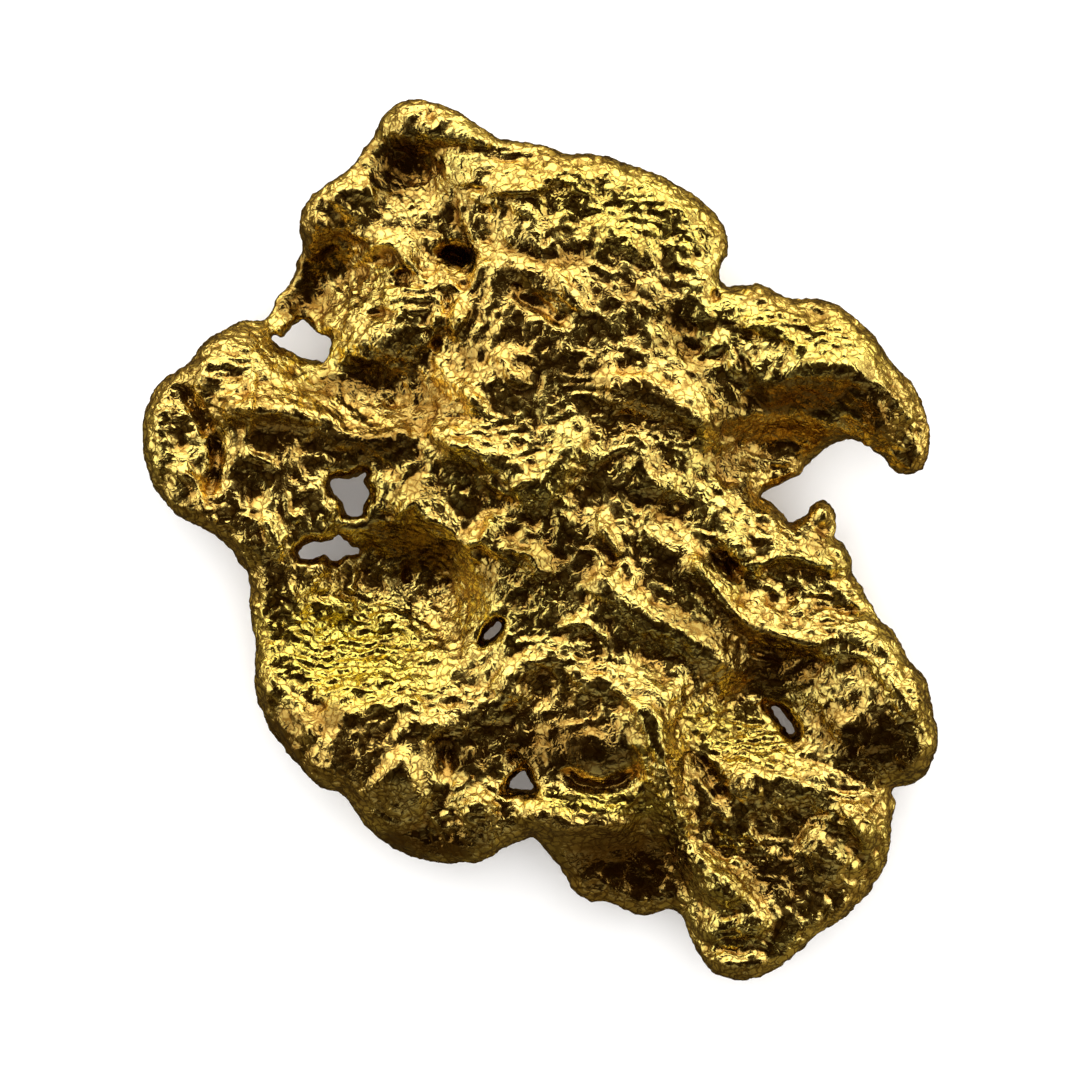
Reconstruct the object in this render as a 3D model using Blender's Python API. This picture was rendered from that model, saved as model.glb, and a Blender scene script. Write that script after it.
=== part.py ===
"""A small river-worn gold nugget, one solid, lying on its broad underside.

The plan tables below are in steps of LENGTH / LENGTH_STEPS, x to the right (+X) and y down the
page (-Y). Heights are in millimetres over the surface that the nugget lies on. The solid is
modelled in millimetres and scaled to metres at the end. Its origin is at the bottom centre of
its box, with its length along Y and its least way along Z.
"""

import bmesh
import bpy
import numpy as np
from mathutils import Matrix, Vector, kdtree, noise

# Driving dimensions, millimetres
LENGTH = 17.6
LENGTH_STEPS = 880
STEP = LENGTH / LENGTH_STEPS
PLAN_MIDDLE = np.array((539.5, 540.0))
SLAB_HALF = 1.0
SPOT_REACH = 0.76
LEAST_WEB = 0.5
REST_HEIGHT = 0.0
CREST_SHARPNESS = 1.3

# The rounding of the edges, and how far up the nugget its outline is widest
UPPER_RIM = 0.4
UPPER_RIM_AT_HOLE = 0.12
LOWER_RIM = 1.2
LOWER_RIM_AT_HOLE = 0.4
LOWER_RIM_WANDER = 0.5
RIM_WALL = 0.18
RIM_LEVEL = 0.66
RIM_LEVEL_WANDER = 0.25
RIM_NOISE_PER_MM = 0.45

# Fine unevenness over the whole surface
NOISE_HEIGHT = 0.08
NOISE_PER_MM = 0.9

# Mesh sizes
VOXEL = 0.06
SMOOTH_ROUNDS = 3
TRIANGLES = 9600

GOLD_COLOUR = (0.83, 0.56, 0.12, 1)

OUTLINE = (
    (415, 100), (398, 104), (385, 116), (378, 127), (374, 138), (365, 150), (354, 163), (344, 174),
    (331, 184), (318, 193), (308, 202), (302, 213), (300, 226), (303, 241), (300, 256), (294, 270),
    (290, 284), (282, 291), (275, 300), (272, 311), (268, 320), (257, 322), (241, 321), (228, 328),
    (212, 339), (200, 348), (193, 362), (184, 368), (166, 379), (153, 395), (146, 414), (143, 434),
    (144, 453), (149, 472), (157, 489), (168, 504), (182, 516), (197, 523), (211, 531), (224, 540),
    (234, 550), (241, 562), (249, 574), (251, 589), (250, 605), (253, 624), (257, 644), (257, 662),
    (256, 682), (260, 704), (268, 725), (280, 741), (295, 758), (309, 774), (322, 785), (344, 793),
    (353, 805), (362, 819), (374, 833), (391, 845), (410, 855), (431, 860), (456, 861), (481, 859),
    (494, 851), (505, 844), (525, 838), (533, 833), (540, 841), (549, 852), (560, 864), (568, 877),
    (574, 888), (585, 897), (600, 901), (615, 904), (629, 910), (642, 915), (654, 914), (662, 909),
    (676, 908), (682, 914), (688, 924), (692, 938), (700, 953), (710, 967), (722, 976), (738, 980),
    (756, 976), (774, 967), (797, 950), (814, 935), (831, 923), (845, 915), (857, 902), (868, 890),
    (879, 874), (886, 858), (888, 839), (891, 820), (893, 801), (889, 789), (897, 785), (909, 783),
    (921, 774), (929, 760), (934, 745), (936, 731), (931, 716), (928, 700), (924, 682), (916, 671),
    (907, 662), (899, 645), (891, 631), (878, 621), (868, 604), (860, 587), (850, 575), (850, 561),
    (843, 547), (834, 539), (833, 526), (833, 512), (826, 503), (819, 501), (812, 507), (806, 516),
    (792, 525), (784, 518), (772, 506), (757, 495), (769, 487), (784, 481), (796, 475), (804, 465),
    (815, 456), (824, 447), (833, 441), (845, 439), (859, 441), (871, 447), (881, 455), (888, 463),
    (899, 471), (910, 474), (920, 470), (926, 457), (927, 438), (924, 418), (918, 399), (909, 384),
    (898, 372), (884, 358), (877, 344), (862, 329), (845, 314), (830, 305), (812, 301), (792, 301),
    (775, 295), (765, 288), (755, 285), (744, 288), (730, 289), (720, 286), (716, 277), (718, 266),
    (724, 256), (727, 243), (724, 231), (717, 220), (705, 208), (692, 197), (676, 187), (660, 179),
    (645, 174), (629, 168), (614, 161), (597, 157), (580, 156), (565, 157), (551, 151), (534, 147),
    (518, 144), (503, 142), (490, 135), (476, 126), (463, 117), (448, 109), (432, 103),
)

UPPER_LEFT_WINDOW = (
    (271, 328), (277, 336), (283, 337), (285, 326), (293, 324), (299, 317), (306, 318), (312, 326),
    (316, 332), (324, 334), (333, 336), (333, 344), (330, 353), (326, 365), (318, 361), (302, 360),
    (289, 352), (275, 344), (269, 336),
)
LEFT_WINDOW = (
    (328, 476), (342, 476), (357, 474), (367, 468), (369, 476), (364, 481), (374, 493), (366, 502),
    (364, 516), (350, 518), (342, 513), (341, 501), (331, 493),
)
LOWER_LEFT_WINDOW = (
    (339, 527), (344, 536), (352, 543), (365, 549), (358, 556), (345, 556), (337, 563), (329, 561),
    (323, 554), (317, 562), (302, 561), (295, 556), (298, 547), (310, 540), (323, 540), (334, 537),
)
MIDDLE_SLIT = ((501, 618), (504, 627), (494, 639), (480, 644), (482, 633), (490, 623))
LOWER_WINDOW = (
    (504, 787), (509, 779), (514, 774), (521, 766), (525, 761), (529, 774), (536, 786), (534, 792),
    (519, 791), (508, 790),
)
RIGHT_SLIT = ((762, 701), (781, 706), (790, 717), (799, 735), (786, 736), (780, 726), (772, 713))
HOLES = (
    UPPER_LEFT_WINDOW, LEFT_WINDOW, LOWER_LEFT_WINDOW, MIDDLE_SLIT, LOWER_WINDOW, RIGHT_SLIT,
)

# The broad form: plan place, height of the upper surface, height of the underside
SPOTS = {
    "knob": (425, 128, 2.7, 1.3), "knob left": (386, 170, 1.8, 1.0),
    "upper left bump": (335, 195, 2.6, 1.2), "upper left flank": (320, 280, 1.4, 0.6),
    "upper left tip": (285, 305, 1.3, 0.8), "upper middle": (420, 220, 2.4, 0.8),
    "lump by the window": (400, 330, 2.8, 0.6), "plateau, top": (510, 170, 3.0, 1.0),
    "plateau, left": (560, 250, 3.4, 0.8), "plateau, right": (640, 230, 3.3, 0.9),
    "plateau, rim": (690, 220, 2.9, 1.2), "plateau, north": (605, 168, 2.9, 1.0),
    "plateau, saddle": (500, 370, 3.3, 0.6), "plateau, middle": (600, 340, 3.5, 0.6),
    "plateau, low": (690, 330, 3.3, 0.1), "tongue": (690, 405, 3.3, 0.2),
    "claw root": (745, 330, 3.2, 0.6), "claw middle": (810, 350, 3.5, 1.0),
    "claw brow": (805, 362, 3.5, 1.0), "claw bend": (878, 388, 3.2, 1.4), "claw tip": (905, 450, 2.6, 1.5),
    "shelf under the claw": (783, 446, 1.9, 0.6), "web by the window": (350, 380, 2.0, 0.7),
    "web, right": (410, 388, 2.3, 0.6),
    "left lobe, top": (230, 360, 2.9, 0.6), "left lobe, outer": (165, 430, 2.4, 0.6),
    "left lobe, middle": (215, 450, 2.6, 0.2), "left lobe, inner": (275, 430, 3.1, 0.1),
    "left lobe, low": (240, 520, 2.8, 0.4), "upper web": (320, 440, 2.4, 0.5),
    "lower web": (300, 512, 2.8, 0.5), "right web": (400, 480, 2.7, 0.5),
    "neck": (265, 590, 2.4, 0.4), "basin, top": (380, 590, 1.5, 0.4),
    "basin, middle": (370, 650, 1.9, 0.4), "basin, rim": (380, 700, 3.2, 0.2),
    "left rim": (275, 690, 2.5, 0.3), "low lump": (395, 755, 3.1, 0.0),
    "low lump, foot": (400, 830, 2.2, 0.2),
    "second low lump": (480, 810, 2.8, 0.0), "low hollow": (470, 750, 2.9, 0.3),
    "middle valley": (440, 580, 1.9, 0.4), "middle ridge": (460, 450, 3.2, 0.5),
    "valley brink": (468, 518, 3.0, 0.4), "valley side": (520, 585, 3.3, 0.3),
    "middle a": (560, 500, 3.3, 0.3), "middle b": (590, 600, 3.4, 0.1),
    "middle c": (520, 680, 3.0, 0.2), "middle d": (610, 725, 3.2, 0.1),
    "middle e": (690, 560, 3.3, 0.2), "middle f": (700, 650, 3.2, 0.2),
    "right a": (760, 530, 3.0, 0.5), "right b": (820, 570, 2.6, 0.7),
    "right c": (820, 650, 3.0, 0.4), "right lump": (872, 705, 3.3, 0.3),
    "right valley": (770, 700, 2.0, 0.4), "slab, top": (730, 780, 2.9, 0.3),
    "slab, right": (830, 800, 2.6, 0.6), "slab, middle": (790, 880, 2.5, 0.6),
    "slab, end": (730, 930, 2.4, 0.4), "slab, edge": (860, 860, 2.3, 0.8),
    "low middle": (595, 812, 3.0, 0.3), "low middle b": (615, 870, 2.0, 0.5),
    "low middle c": (650, 890, 1.7, 0.6),
}

# Crests on the upper surface: path, height, and the reaches of the two sides. The second side,
# which is rounder at the top, is on the right hand of travel.
CRESTS = (
    (
        ((437, 145), (447, 158), (455, 175), (468, 184), (500, 192), (535, 190), (556, 177),
         (575, 185), (594, 198)),
        0.24, 20, 15,
    ),
    (((560, 165), (600, 180), (650, 200), (668, 215), (690, 235), (712, 243)), 0.12, 14, 23),
    (((465, 196), (472, 215), (480, 235), (484, 245)), 0.14, 8, 15),
    (((493, 193), (500, 203), (506, 217)), 0.1, 7, 13),
    (((320, 205), (345, 192), (368, 188), (394, 197)), 0.26, 15, 15),
    (((306, 266), (312, 247), (317, 227), (324, 207)), 0.26, 13, 19),
    (
        ((350, 270), (360, 256), (372, 245), (385, 241), (398, 249), (412, 262), (425, 279)),
        0.34, 24, 17,
    ),
    (((372, 134), (392, 142), (415, 144), (440, 142), (468, 142), (505, 151)), 0.36, 24, 15),
    (((481, 238), (479, 262), (467, 290)), 0.2, 8, 15),
    (((438, 260), (453, 277), (467, 291)), 0.16, 8, 15),
    (((376, 293), (405, 297), (425, 294), (447, 287), (465, 291)), 0.14, 12, 13),
    (
        ((328, 366), (345, 352), (365, 344), (385, 341), (405, 341), (425, 344), (440, 356)),
        0.42, 36, 23,
    ),
    (((186, 398), (205, 385), (225, 373), (247, 349), (262, 362), (287, 384)), 0.2, 14, 17),
    (
        ((216, 410), (250, 404), (298, 407), (320, 415), (334, 421), (347, 434), (385, 437),
         (402, 429), (412, 416)),
        0.5, 15, 19,
    ),
    (((256, 512), (272, 511), (278, 535), (284, 566)), 0.16, 7, 13),
    (((172, 392), (162, 425), (168, 452), (186, 470), (203, 492)), 0.2, 14, 17),
    (
        ((420, 410), (438, 424), (457, 445), (480, 447), (500, 462), (538, 486), (560, 460),
         (576, 440), (600, 424)),
        0.46, 30, 19,
    ),
    (
        ((384, 516), (400, 512), (415, 495), (430, 510), (467, 539), (483, 533), (498, 510)),
        0.34, 16, 17,
    ),
    (((484, 530), (500, 545), (515, 548), (534, 552), (541, 566), (560, 567)), 0.22, 12, 15),
    (((554, 496), (564, 518), (582, 526)), 0.18, 9, 13),
    (((588, 506), (607, 529), (624, 556)), 0.22, 11, 15),
    (((450, 540), (467, 558), (492, 579), (496, 600), (507, 629), (524, 643)), 0.2, 10, 25),
    (
        ((597, 562), (607, 583), (630, 602), (647, 617), (677, 630), (707, 647), (726, 665),
         (748, 678)),
        0.34, 13, 17,
    ),
    (((560, 627), (584, 619), (605, 631)), 0.16, 10, 13),
    (
        ((488, 696), (504, 680), (522, 663), (546, 652), (566, 660), (586, 678), (620, 684),
         (656, 688), (690, 704)),
        0.36, 14, 17,
    ),
    (((626, 424), (643, 451), (643, 468), (654, 481), (690, 488)), 0.22, 12, 15),
    (((641, 504), (645, 529), (658, 545), (677, 548), (692, 533)), 0.14, 7, 13),
    (
        ((590, 384), (615, 384), (640, 388), (665, 396), (692, 409), (714, 428), (720, 444)),
        0.42, 18, 17,
    ),
    (
        ((690, 545), (700, 565), (715, 583), (730, 604), (746, 617), (772, 627), (799, 638),
         (830, 636)),
        0.42, 14, 21,
    ),
    (((700, 540), (722, 541), (748, 556), (775, 553), (800, 556), (830, 563), (850, 572)), 0.3, 26, 15),
    (((806, 645), (828, 638), (868, 634), (886, 655), (900, 690), (914, 732)), 0.3, 20, 23),
    (
        ((748, 400), (766, 384), (790, 374), (815, 371), (840, 368), (858, 373), (872, 392),
         (880, 412), (886, 432), (897, 452)),
        0.4, 24, 25,
    ),
    (((722, 420), (760, 413), (800, 416), (832, 421), (850, 432)), 0.16, 8, 15),
    (((733, 334), (750, 320), (785, 325), (803, 342)), 0.16, 9, 15),
    (((314, 613), (330, 606), (345, 604), (364, 617)), 0.22, 9, 13),
    (((366, 630), (376, 622), (395, 618), (420, 640), (447, 668)), 0.22, 11, 15),
    (((306, 689), (340, 692), (360, 684), (375, 675), (400, 681), (428, 691)), 0.22, 10, 15),
    (((328, 699), (355, 712), (380, 700), (432, 700)), 0.16, 8, 13),
    (((392, 716), (440, 722), (465, 715), (482, 703), (500, 700), (533, 678)), 0.22, 11, 15),
    (((262, 664), (280, 685), (300, 700), (303, 718), (322, 738)), 0.14, 8, 19),
    (((505, 806), (530, 810), (560, 817), (590, 820), (615, 820), (650, 832)), 0.5, 22, 19),
    (((448, 806), (465, 801), (482, 799), (506, 803)), 0.34, 14, 19),
    (((388, 745), (402, 756), (410, 775), (416, 795), (436, 814)), 0.3, 13, 42),
    (
        ((630, 688), (648, 715), (658, 740), (666, 770), (672, 800), (683, 828), (705, 866),
         (725, 888), (738, 912)),
        0.62, 15, 23,
    ),
    (
        ((706, 762), (730, 777), (760, 779), (800, 783), (828, 798), (850, 821), (864, 852)),
        0.44, 34, 23,
    ),
    (((786, 846), (808, 862), (830, 873), (856, 878)), 0.22, 26, 15),
    (((552, 262), (560, 278), (570, 293), (582, 306), (596, 312)), 0.22, 16, 15),
    (((530, 308), (545, 320), (558, 330), (574, 333)), 0.14, 7, 11),
    (((588, 220), (612, 236), (636, 248), (664, 262)), 0.2, 18, 19),
    (((638, 276), (662, 296), (690, 305), (708, 313)), 0.12, 12, 23),
    (((692, 361), (703, 350), (716, 346), (726, 353)), 0.12, 7, 13),
    (((452, 373), (470, 390), (494, 412)), 0.24, 16, 15),
    (((496, 343), (508, 362), (518, 380), (538, 385)), 0.2, 12, 17),
    (((507, 202), (528, 211), (550, 220)), 0.13, 8, 13),
    (((446, 345), (449, 318), (447, 292)), 0.3, 13, 14),
    (((467, 289), (471, 300), (462, 320), (455, 337)), 0.14, 7, 13),
    (((834, 792), (853, 806), (868, 826), (874, 856)), 0.36, 14, 15),
    (((676, 842), (698, 860), (720, 874), (736, 888), (748, 902), (758, 918), (769, 936)), 0.3, 13, 17),
    (((796, 824), (816, 842), (835, 852), (860, 876)), 0.36, 15, 17),
    (((696, 928), (716, 922), (735, 921), (770, 934)), 0.26, 12, 13),
    (((698, 962), (720, 959), (745, 958), (778, 957)), 0.2, 9, 13),
)

# Grooves: path, half width, depth
GROOVES = (
    (((372, 140), (400, 151), (437, 150), (465, 151), (505, 160), (548, 165)), 6, 0.22),
    (((172, 382), (190, 398), (207, 425), (217, 447), (216, 475), (209, 500)), 7, 0.3),
    (((703, 543), (722, 560), (747, 584)), 9, 0.36),
    (((690, 565), (712, 600), (745, 640), (790, 655), (838, 662)), 11, 0.26),
    (((808, 603), (841, 608), (869, 621)), 7, 0.18),
    (((451, 722), (447, 750), (452, 788)), 12, 0.36),
    (((478, 241), (500, 246), (520, 254), (547, 265)), 6, 0.16),
    (((683, 743), (700, 760), (712, 776), (722, 792), (733, 808)), 8, 0.22),
    (((556, 765), (580, 780), (605, 785), (625, 777), (645, 760)), 7, 0.3),
)

# Lumps: middle, radii, turn in degrees, height (a pit's is negative), flatness of the top
LUMPS = (
    ((425, 118), (34, 13), 6, 0.1),
    ((412, 168), (30, 26), 0, -0.4, 3),
    ((459, 256), (20, 11), 0, -0.36, 3),
    ((345, 262), (28, 34), 20, -0.35, 3),
    ((312, 298), (20, 22), 0, -0.25, 3),
    ((380, 385), (34, 20), 20, -0.2),
    ((450, 582), (34, 28), 35, -0.4),
    ((672, 515), (26, 15), 20, -0.2),
    ((745, 515), (45, 26), 30, 0.12),
    ((822, 508), (12, 10), 0, 0.3),
    ((572, 258), (16, 9), 5, -0.2, 3),
    ((528, 296), (28, 10), 25, -0.2, 3),
    ((682, 330), (15, 32), -20, -0.2, 3),
    ((713, 299), (8, 6), 0, -0.3),
    ((700, 355), (22, 11), 10, -0.2),
    ((400, 772), (48, 54), 0, 0.2),
    ((490, 812), (32, 26), 0, 0.2),
    ((595, 745), (48, 28), -5, 0.28),
    ((822, 320), (22, 14), 10, -0.15),
    ((430, 117), (6, 4), 0, -0.1),
)

# The same on the underside, where up is out of the nugget, downwards
UNDER_CRESTS = (
    (((250, 420), (330, 470), (420, 470), (520, 540)), 0.3, 26, 18),
    (((560, 200), (600, 300), (690, 360), (790, 370)), 0.35, 30, 20),
    (((300, 640), (380, 690), (470, 670), (560, 700)), 0.3, 24, 18),
    (((640, 480), (700, 560), (790, 600), (870, 660)), 0.35, 26, 18),
    (((620, 760), (700, 800), (740, 870), (760, 940)), 0.3, 26, 18),
)
UNDER_LUMPS = (
    ((260, 430), (50, 44), 20, 0.35),
    ((410, 780), (54, 46), 0, 0.3),
    ((600, 600), (70, 60), 40, 0.2),
    ((856, 692), (44, 50), 0, 0.55),
    ((680, 335), (56, 44), 20, 0.35),
    ((500, 250), (70, 40), -20, -0.3),
    ((700, 700), (40, 60), 30, -0.4),
    ((480, 580), (40, 30), 0, -0.4),
    ((790, 850), (50, 40), 30, -0.3),
)


def through(points, closed=False, per_span=6):
    """A smooth line through the points (Catmull-Rom)."""
    points = np.array(points, float)
    if closed:
        points = np.vstack((points[-1:], points, points[:2]))
    else:
        points = np.vstack((2 * points[0] - points[1], points, 2 * points[-1] - points[-2]))
    before, start, end, after = (points[k:len(points) - 3 + k, None, :] for k in range(4))
    share = (np.arange(per_span) / per_span)[None, :, None]
    line = 0.5 * (
        2 * start
        + (end - before) * share
        + (2 * before - 5 * start + 4 * end - after) * share**2
        + (3 * start - before - 3 * end + after) * share**3
    )
    line = line.reshape(-1, 2)
    return line if closed else np.vstack((line, points[-2:-1]))


def plan_mm(points):
    """Plan steps to millimetres."""
    return (np.asarray(points, float) - PLAN_MIDDLE) * (STEP, -STEP)


def plan_steps(points):
    """Millimetres to plan steps."""
    return points[:, :2] / (STEP, -STEP) + PLAN_MIDDLE


def gently(share):
    """0 to 1 with level ends."""
    share = np.clip(share, 0, 1)
    return share * share * (3 - 2 * share)


def near_line(plan, line):
    """Each point's distance to the line, signed (+ on its right hand), and its share of the way along."""
    best = np.full(len(plan), np.inf)
    signed = np.zeros(len(plan))
    along = np.zeros(len(plan))
    spans = np.diff(line, axis=0)
    lengths = np.hypot(*spans.T)
    starts = np.concatenate(((0,), np.cumsum(lengths)))
    for corner, span, length, start in zip(line, spans, lengths, starts):
        offset = plan - corner
        share = np.clip(offset @ span / length**2, 0, 1)
        gap = np.hypot(*(offset - share[:, None] * span).T)
        side = np.where(span[0] * offset[:, 1] - span[1] * offset[:, 0] < 0, -1, 1)
        nearer = gap < best
        best[nearer] = gap[nearer]
        signed[nearer] = (gap * side)[nearer]
        along[nearer] = (start + share * length)[nearer] / starts[-1]
    return signed, along, starts[-1]


def close_by(plan, line, reach):
    """Which points lie in the line's box, widened by reach."""
    low = line.min(axis=0) - reach
    high = line.max(axis=0) + reach
    return np.flatnonzero(((plan > low) & (plan < high)).all(axis=1))


def crest_rise(plan, path, height, left_reach, right_reach):
    """The places that a crest moves, and how far up."""
    line = through(path)
    reached = close_by(plan, line, 2.6 * max(left_reach, right_reach))
    signed, along, length = near_line(plan[reached], line)
    left_side = np.exp(-((np.maximum(-signed, 0) / left_reach) ** CREST_SHARPNESS))
    right_side = np.exp(-((signed / right_reach) ** 2))
    fade = min(0.45 * length, 1.2 * left_reach + 8)
    ends = gently(np.minimum(along, 1 - along) * length / fade)
    return reached, height * np.where(signed < 0, left_side, right_side) * ends


def groove_rise(plan, path, width, depth):
    """The places that a groove moves, and how far (down is negative)."""
    line = through(path)
    reached = close_by(plan, line, 3 * width)
    signed, along, length = near_line(plan[reached], line)
    ends = gently(np.minimum(along, 1 - along) * length / min(0.45 * length, 2.5 * width))
    return reached, -depth * np.exp(-((signed / width) ** 2)) * ends


def lump_rise(plan, middle, radii, turn, height, flatness=2):
    """The places that a lump (or, with a negative height, a pit) moves, and how far up."""
    reached = close_by(plan, np.array((middle,), float), 2.4 * max(radii))
    offset = plan[reached] - middle
    cosine = np.cos(np.radians(turn))
    sine = np.sin(np.radians(turn))
    along = (offset[:, 0] * cosine + offset[:, 1] * sine) / radii[0]
    across = (offset[:, 1] * cosine - offset[:, 0] * sine) / radii[1]
    return reached, height * np.exp(-np.hypot(along, across) ** flatness)


def relief(plan, crests, grooves, lumps):
    """How far the relief lifts each plan place, in millimetres."""
    rise = np.zeros(len(plan))
    for shape, rows in ((crest_rise, crests), (groove_rise, grooves), (lump_rise, lumps)):
        for row in rows:
            reached, lift = shape(plan, *row)
            rise[reached] += lift
    return rise


def broad_heights(plan):
    """Upper and lower height at each plan place, blended from the spots."""
    spots = np.array(list(SPOTS.values()), float)
    squares = ((plan[:, None, :] - spots[None, :, :2]) ** 2).sum(axis=2) * STEP**2
    squares -= squares.min(axis=1, keepdims=True)
    weights = np.exp(-squares / (2 * SPOT_REACH**2))
    return (weights @ spots[:, 2:] / weights.sum(axis=1, keepdims=True)).T


def inset_of(plan, loops):
    """Each plan place's distance from the nearest of the loops, in millimetres."""
    edge = np.vstack([through(loop, closed=True) for loop in loops]) * STEP
    tree = kdtree.KDTree(len(edge))
    for number, (x, y) in enumerate(edge):
        tree.insert((x, y, 0), number)
    tree.balance()
    return np.array([tree.find((x, y, 0))[2] for x, y in plan * STEP])


def rounded(inset, radius):
    """The share of the full height at each inset from an edge of this radius."""
    inset = np.clip(inset / radius, 0, 1)
    return RIM_WALL + (1 - RIM_WALL) * np.sqrt(1 - (1 - inset) ** 2)


def slab():
    """The nugget's plan outline with its holes, as a flat slab."""
    curve = bpy.data.curves.new("slab", "CURVE")
    curve.dimensions = "2D"
    curve.fill_mode = "BOTH"
    curve.extrude = SLAB_HALF
    for loop in (OUTLINE, *HOLES):
        line = plan_mm(through(loop, closed=True))
        spline = curve.splines.new("POLY")
        spline.points.add(len(line) - 1)
        spline.points.foreach_set("co", np.c_[line, np.zeros(len(line)), np.ones(len(line))].ravel())
        spline.use_cyclic_u = True
    guide = bpy.data.objects.new("slab", curve)
    bpy.context.collection.objects.link(guide)
    graph = bpy.context.evaluated_depsgraph_get()
    mesh = bpy.data.meshes.new_from_object(guide.evaluated_get(graph))
    bpy.data.objects.remove(guide)
    return mesh


def apply_modifiers(nugget):
    """Replaces the mesh by what its modifiers make of it."""
    graph = bpy.context.evaluated_depsgraph_get()
    nugget.data = bpy.data.meshes.new_from_object(nugget.evaluated_get(graph))
    nugget.modifiers.clear()


def remesh(nugget):
    """Even faces, VOXEL apart, over the whole surface."""
    modifier = nugget.modifiers.new("remesh", "REMESH")
    modifier.mode = "VOXEL"
    modifier.voxel_size = VOXEL
    apply_modifiers(nugget)


def points_of(mesh):
    points = np.empty(len(mesh.vertices) * 3, np.float32)
    mesh.vertices.foreach_get("co", points)
    return points.reshape(-1, 3).astype(float)


def unevenness(points, per_mm):
    """Smooth seeded noise at each point, about -1 to 1."""
    return np.array([noise.fractal(Vector(point) * per_mm, 0.8, 2.1, 3) for point in points])


def model(nugget):
    """Moves the slab's points to the nugget's upper and lower surfaces."""
    points = points_of(nugget.data)
    plan = plan_steps(points)
    level = points[:, 2] / SLAB_HALF
    upper, lower = broad_heights(plan)
    upper += relief(plan, CRESTS, GROOVES, LUMPS)
    lower -= relief(plan, UNDER_CRESTS, (), UNDER_LUMPS)
    rough = NOISE_HEIGHT * unevenness(points, NOISE_PER_MM)
    upper += rough
    lower += rough
    thin = np.maximum(LEAST_WEB - (upper - lower), 0)
    upper += thin
    wander = unevenness(points * (1, 1, 0), RIM_NOISE_PER_MM)
    edge = lower + (upper - lower) * (RIM_LEVEL + RIM_LEVEL_WANDER * wander)
    inset = inset_of(plan, (OUTLINE,))
    hole_inset = inset_of(plan, HOLES)
    over = rounded(inset, UPPER_RIM) * rounded(hole_inset, UPPER_RIM_AT_HOLE)
    under_radius = LOWER_RIM * (1 + LOWER_RIM_WANDER * wander)
    under = rounded(inset, under_radius) * rounded(hole_inset, LOWER_RIM_AT_HOLE)
    reach = np.where(level > 0, (upper - edge) * over, (edge - lower) * under)
    points[:, 2] = edge + level * reach
    nugget.data.vertices.foreach_set("co", points.astype(np.float32).ravel())
    nugget.data.update()


def thin_out(nugget):
    """Smooths the surface and leaves TRIANGLES of it, fewer on the underside."""
    smooth = nugget.modifiers.new("smooth", "SMOOTH")
    smooth.iterations = SMOOTH_ROUNDS
    apply_modifiers(nugget)
    mesh = nugget.data
    mesh.calc_loop_triangles()
    decimate = nugget.modifiers.new("decimate", "DECIMATE")
    decimate.ratio = TRIANGLES / len(mesh.loop_triangles)
    decimate.use_collapse_triangulate = True
    apply_modifiers(nugget)


def cut_flats(nugget):
    """Cuts the lumps that reach under REST_HEIGHT level with it, as the flats that it lies on."""
    form = bmesh.new()
    form.from_mesh(nugget.data)
    everything = form.verts[:] + form.edges[:] + form.faces[:]
    cut = bmesh.ops.bisect_plane(
        form,
        geom=everything,
        plane_co=(0, 0, REST_HEIGHT),
        plane_no=(0, 0, 1),
        dist=1e-5,
        clear_inner=True,
    )
    rim = [part for part in cut["geom_cut"] if isinstance(part, bmesh.types.BMEdge)]
    bmesh.ops.holes_fill(form, edges=rim, sides=0)
    bmesh.ops.triangulate(form, faces=form.faces[:])
    bmesh.ops.recalc_face_normals(form, faces=form.faces[:])
    form.to_mesh(nugget.data)
    form.free()


def settle(nugget):
    """Scales to metres, with the origin at the bottom centre of the box."""
    points = points_of(nugget.data)
    low = points.min(axis=0)
    high = points.max(axis=0)
    bottom_centre = ((low[0] + high[0]) / 2, (low[1] + high[1]) / 2, low[2])
    nugget.data.transform(Matrix.Scale(0.001, 4) @ Matrix.Translation(-Vector(bottom_centre)))


def gold():
    material = bpy.data.materials.new("native_gold")
    material.use_nodes = True
    shader = material.node_tree.nodes["Principled BSDF"]
    shader.inputs["Base Color"].default_value = GOLD_COLOUR
    shader.inputs["Metallic"].default_value = 1.0
    shader.inputs["Roughness"].default_value = 0.3
    return material


def main():
    for thing in list(bpy.data.objects):
        bpy.data.objects.remove(thing)
    nugget = bpy.data.objects.new("nugget", slab())
    bpy.context.collection.objects.link(nugget)
    remesh(nugget)
    model(nugget)
    remesh(nugget)
    thin_out(nugget)
    cut_flats(nugget)
    settle(nugget)
    nugget.data.materials.append(gold())
    nugget.data.shade_smooth()


main()
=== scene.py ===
"""The looks of the gold nugget: its fine relief, its metal, and a plain light studio.

Shapes are worked out in millimetres and scaled to metres at the end. The plan tables are in steps
of STEP, as in the solid's own source, with x to the right (+X) and y down the page (-Y). Lights,
floor and camera are in metres.
"""

import math

import bmesh
import bpy
import numpy as np
from mathutils import Matrix, Vector, noise


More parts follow.
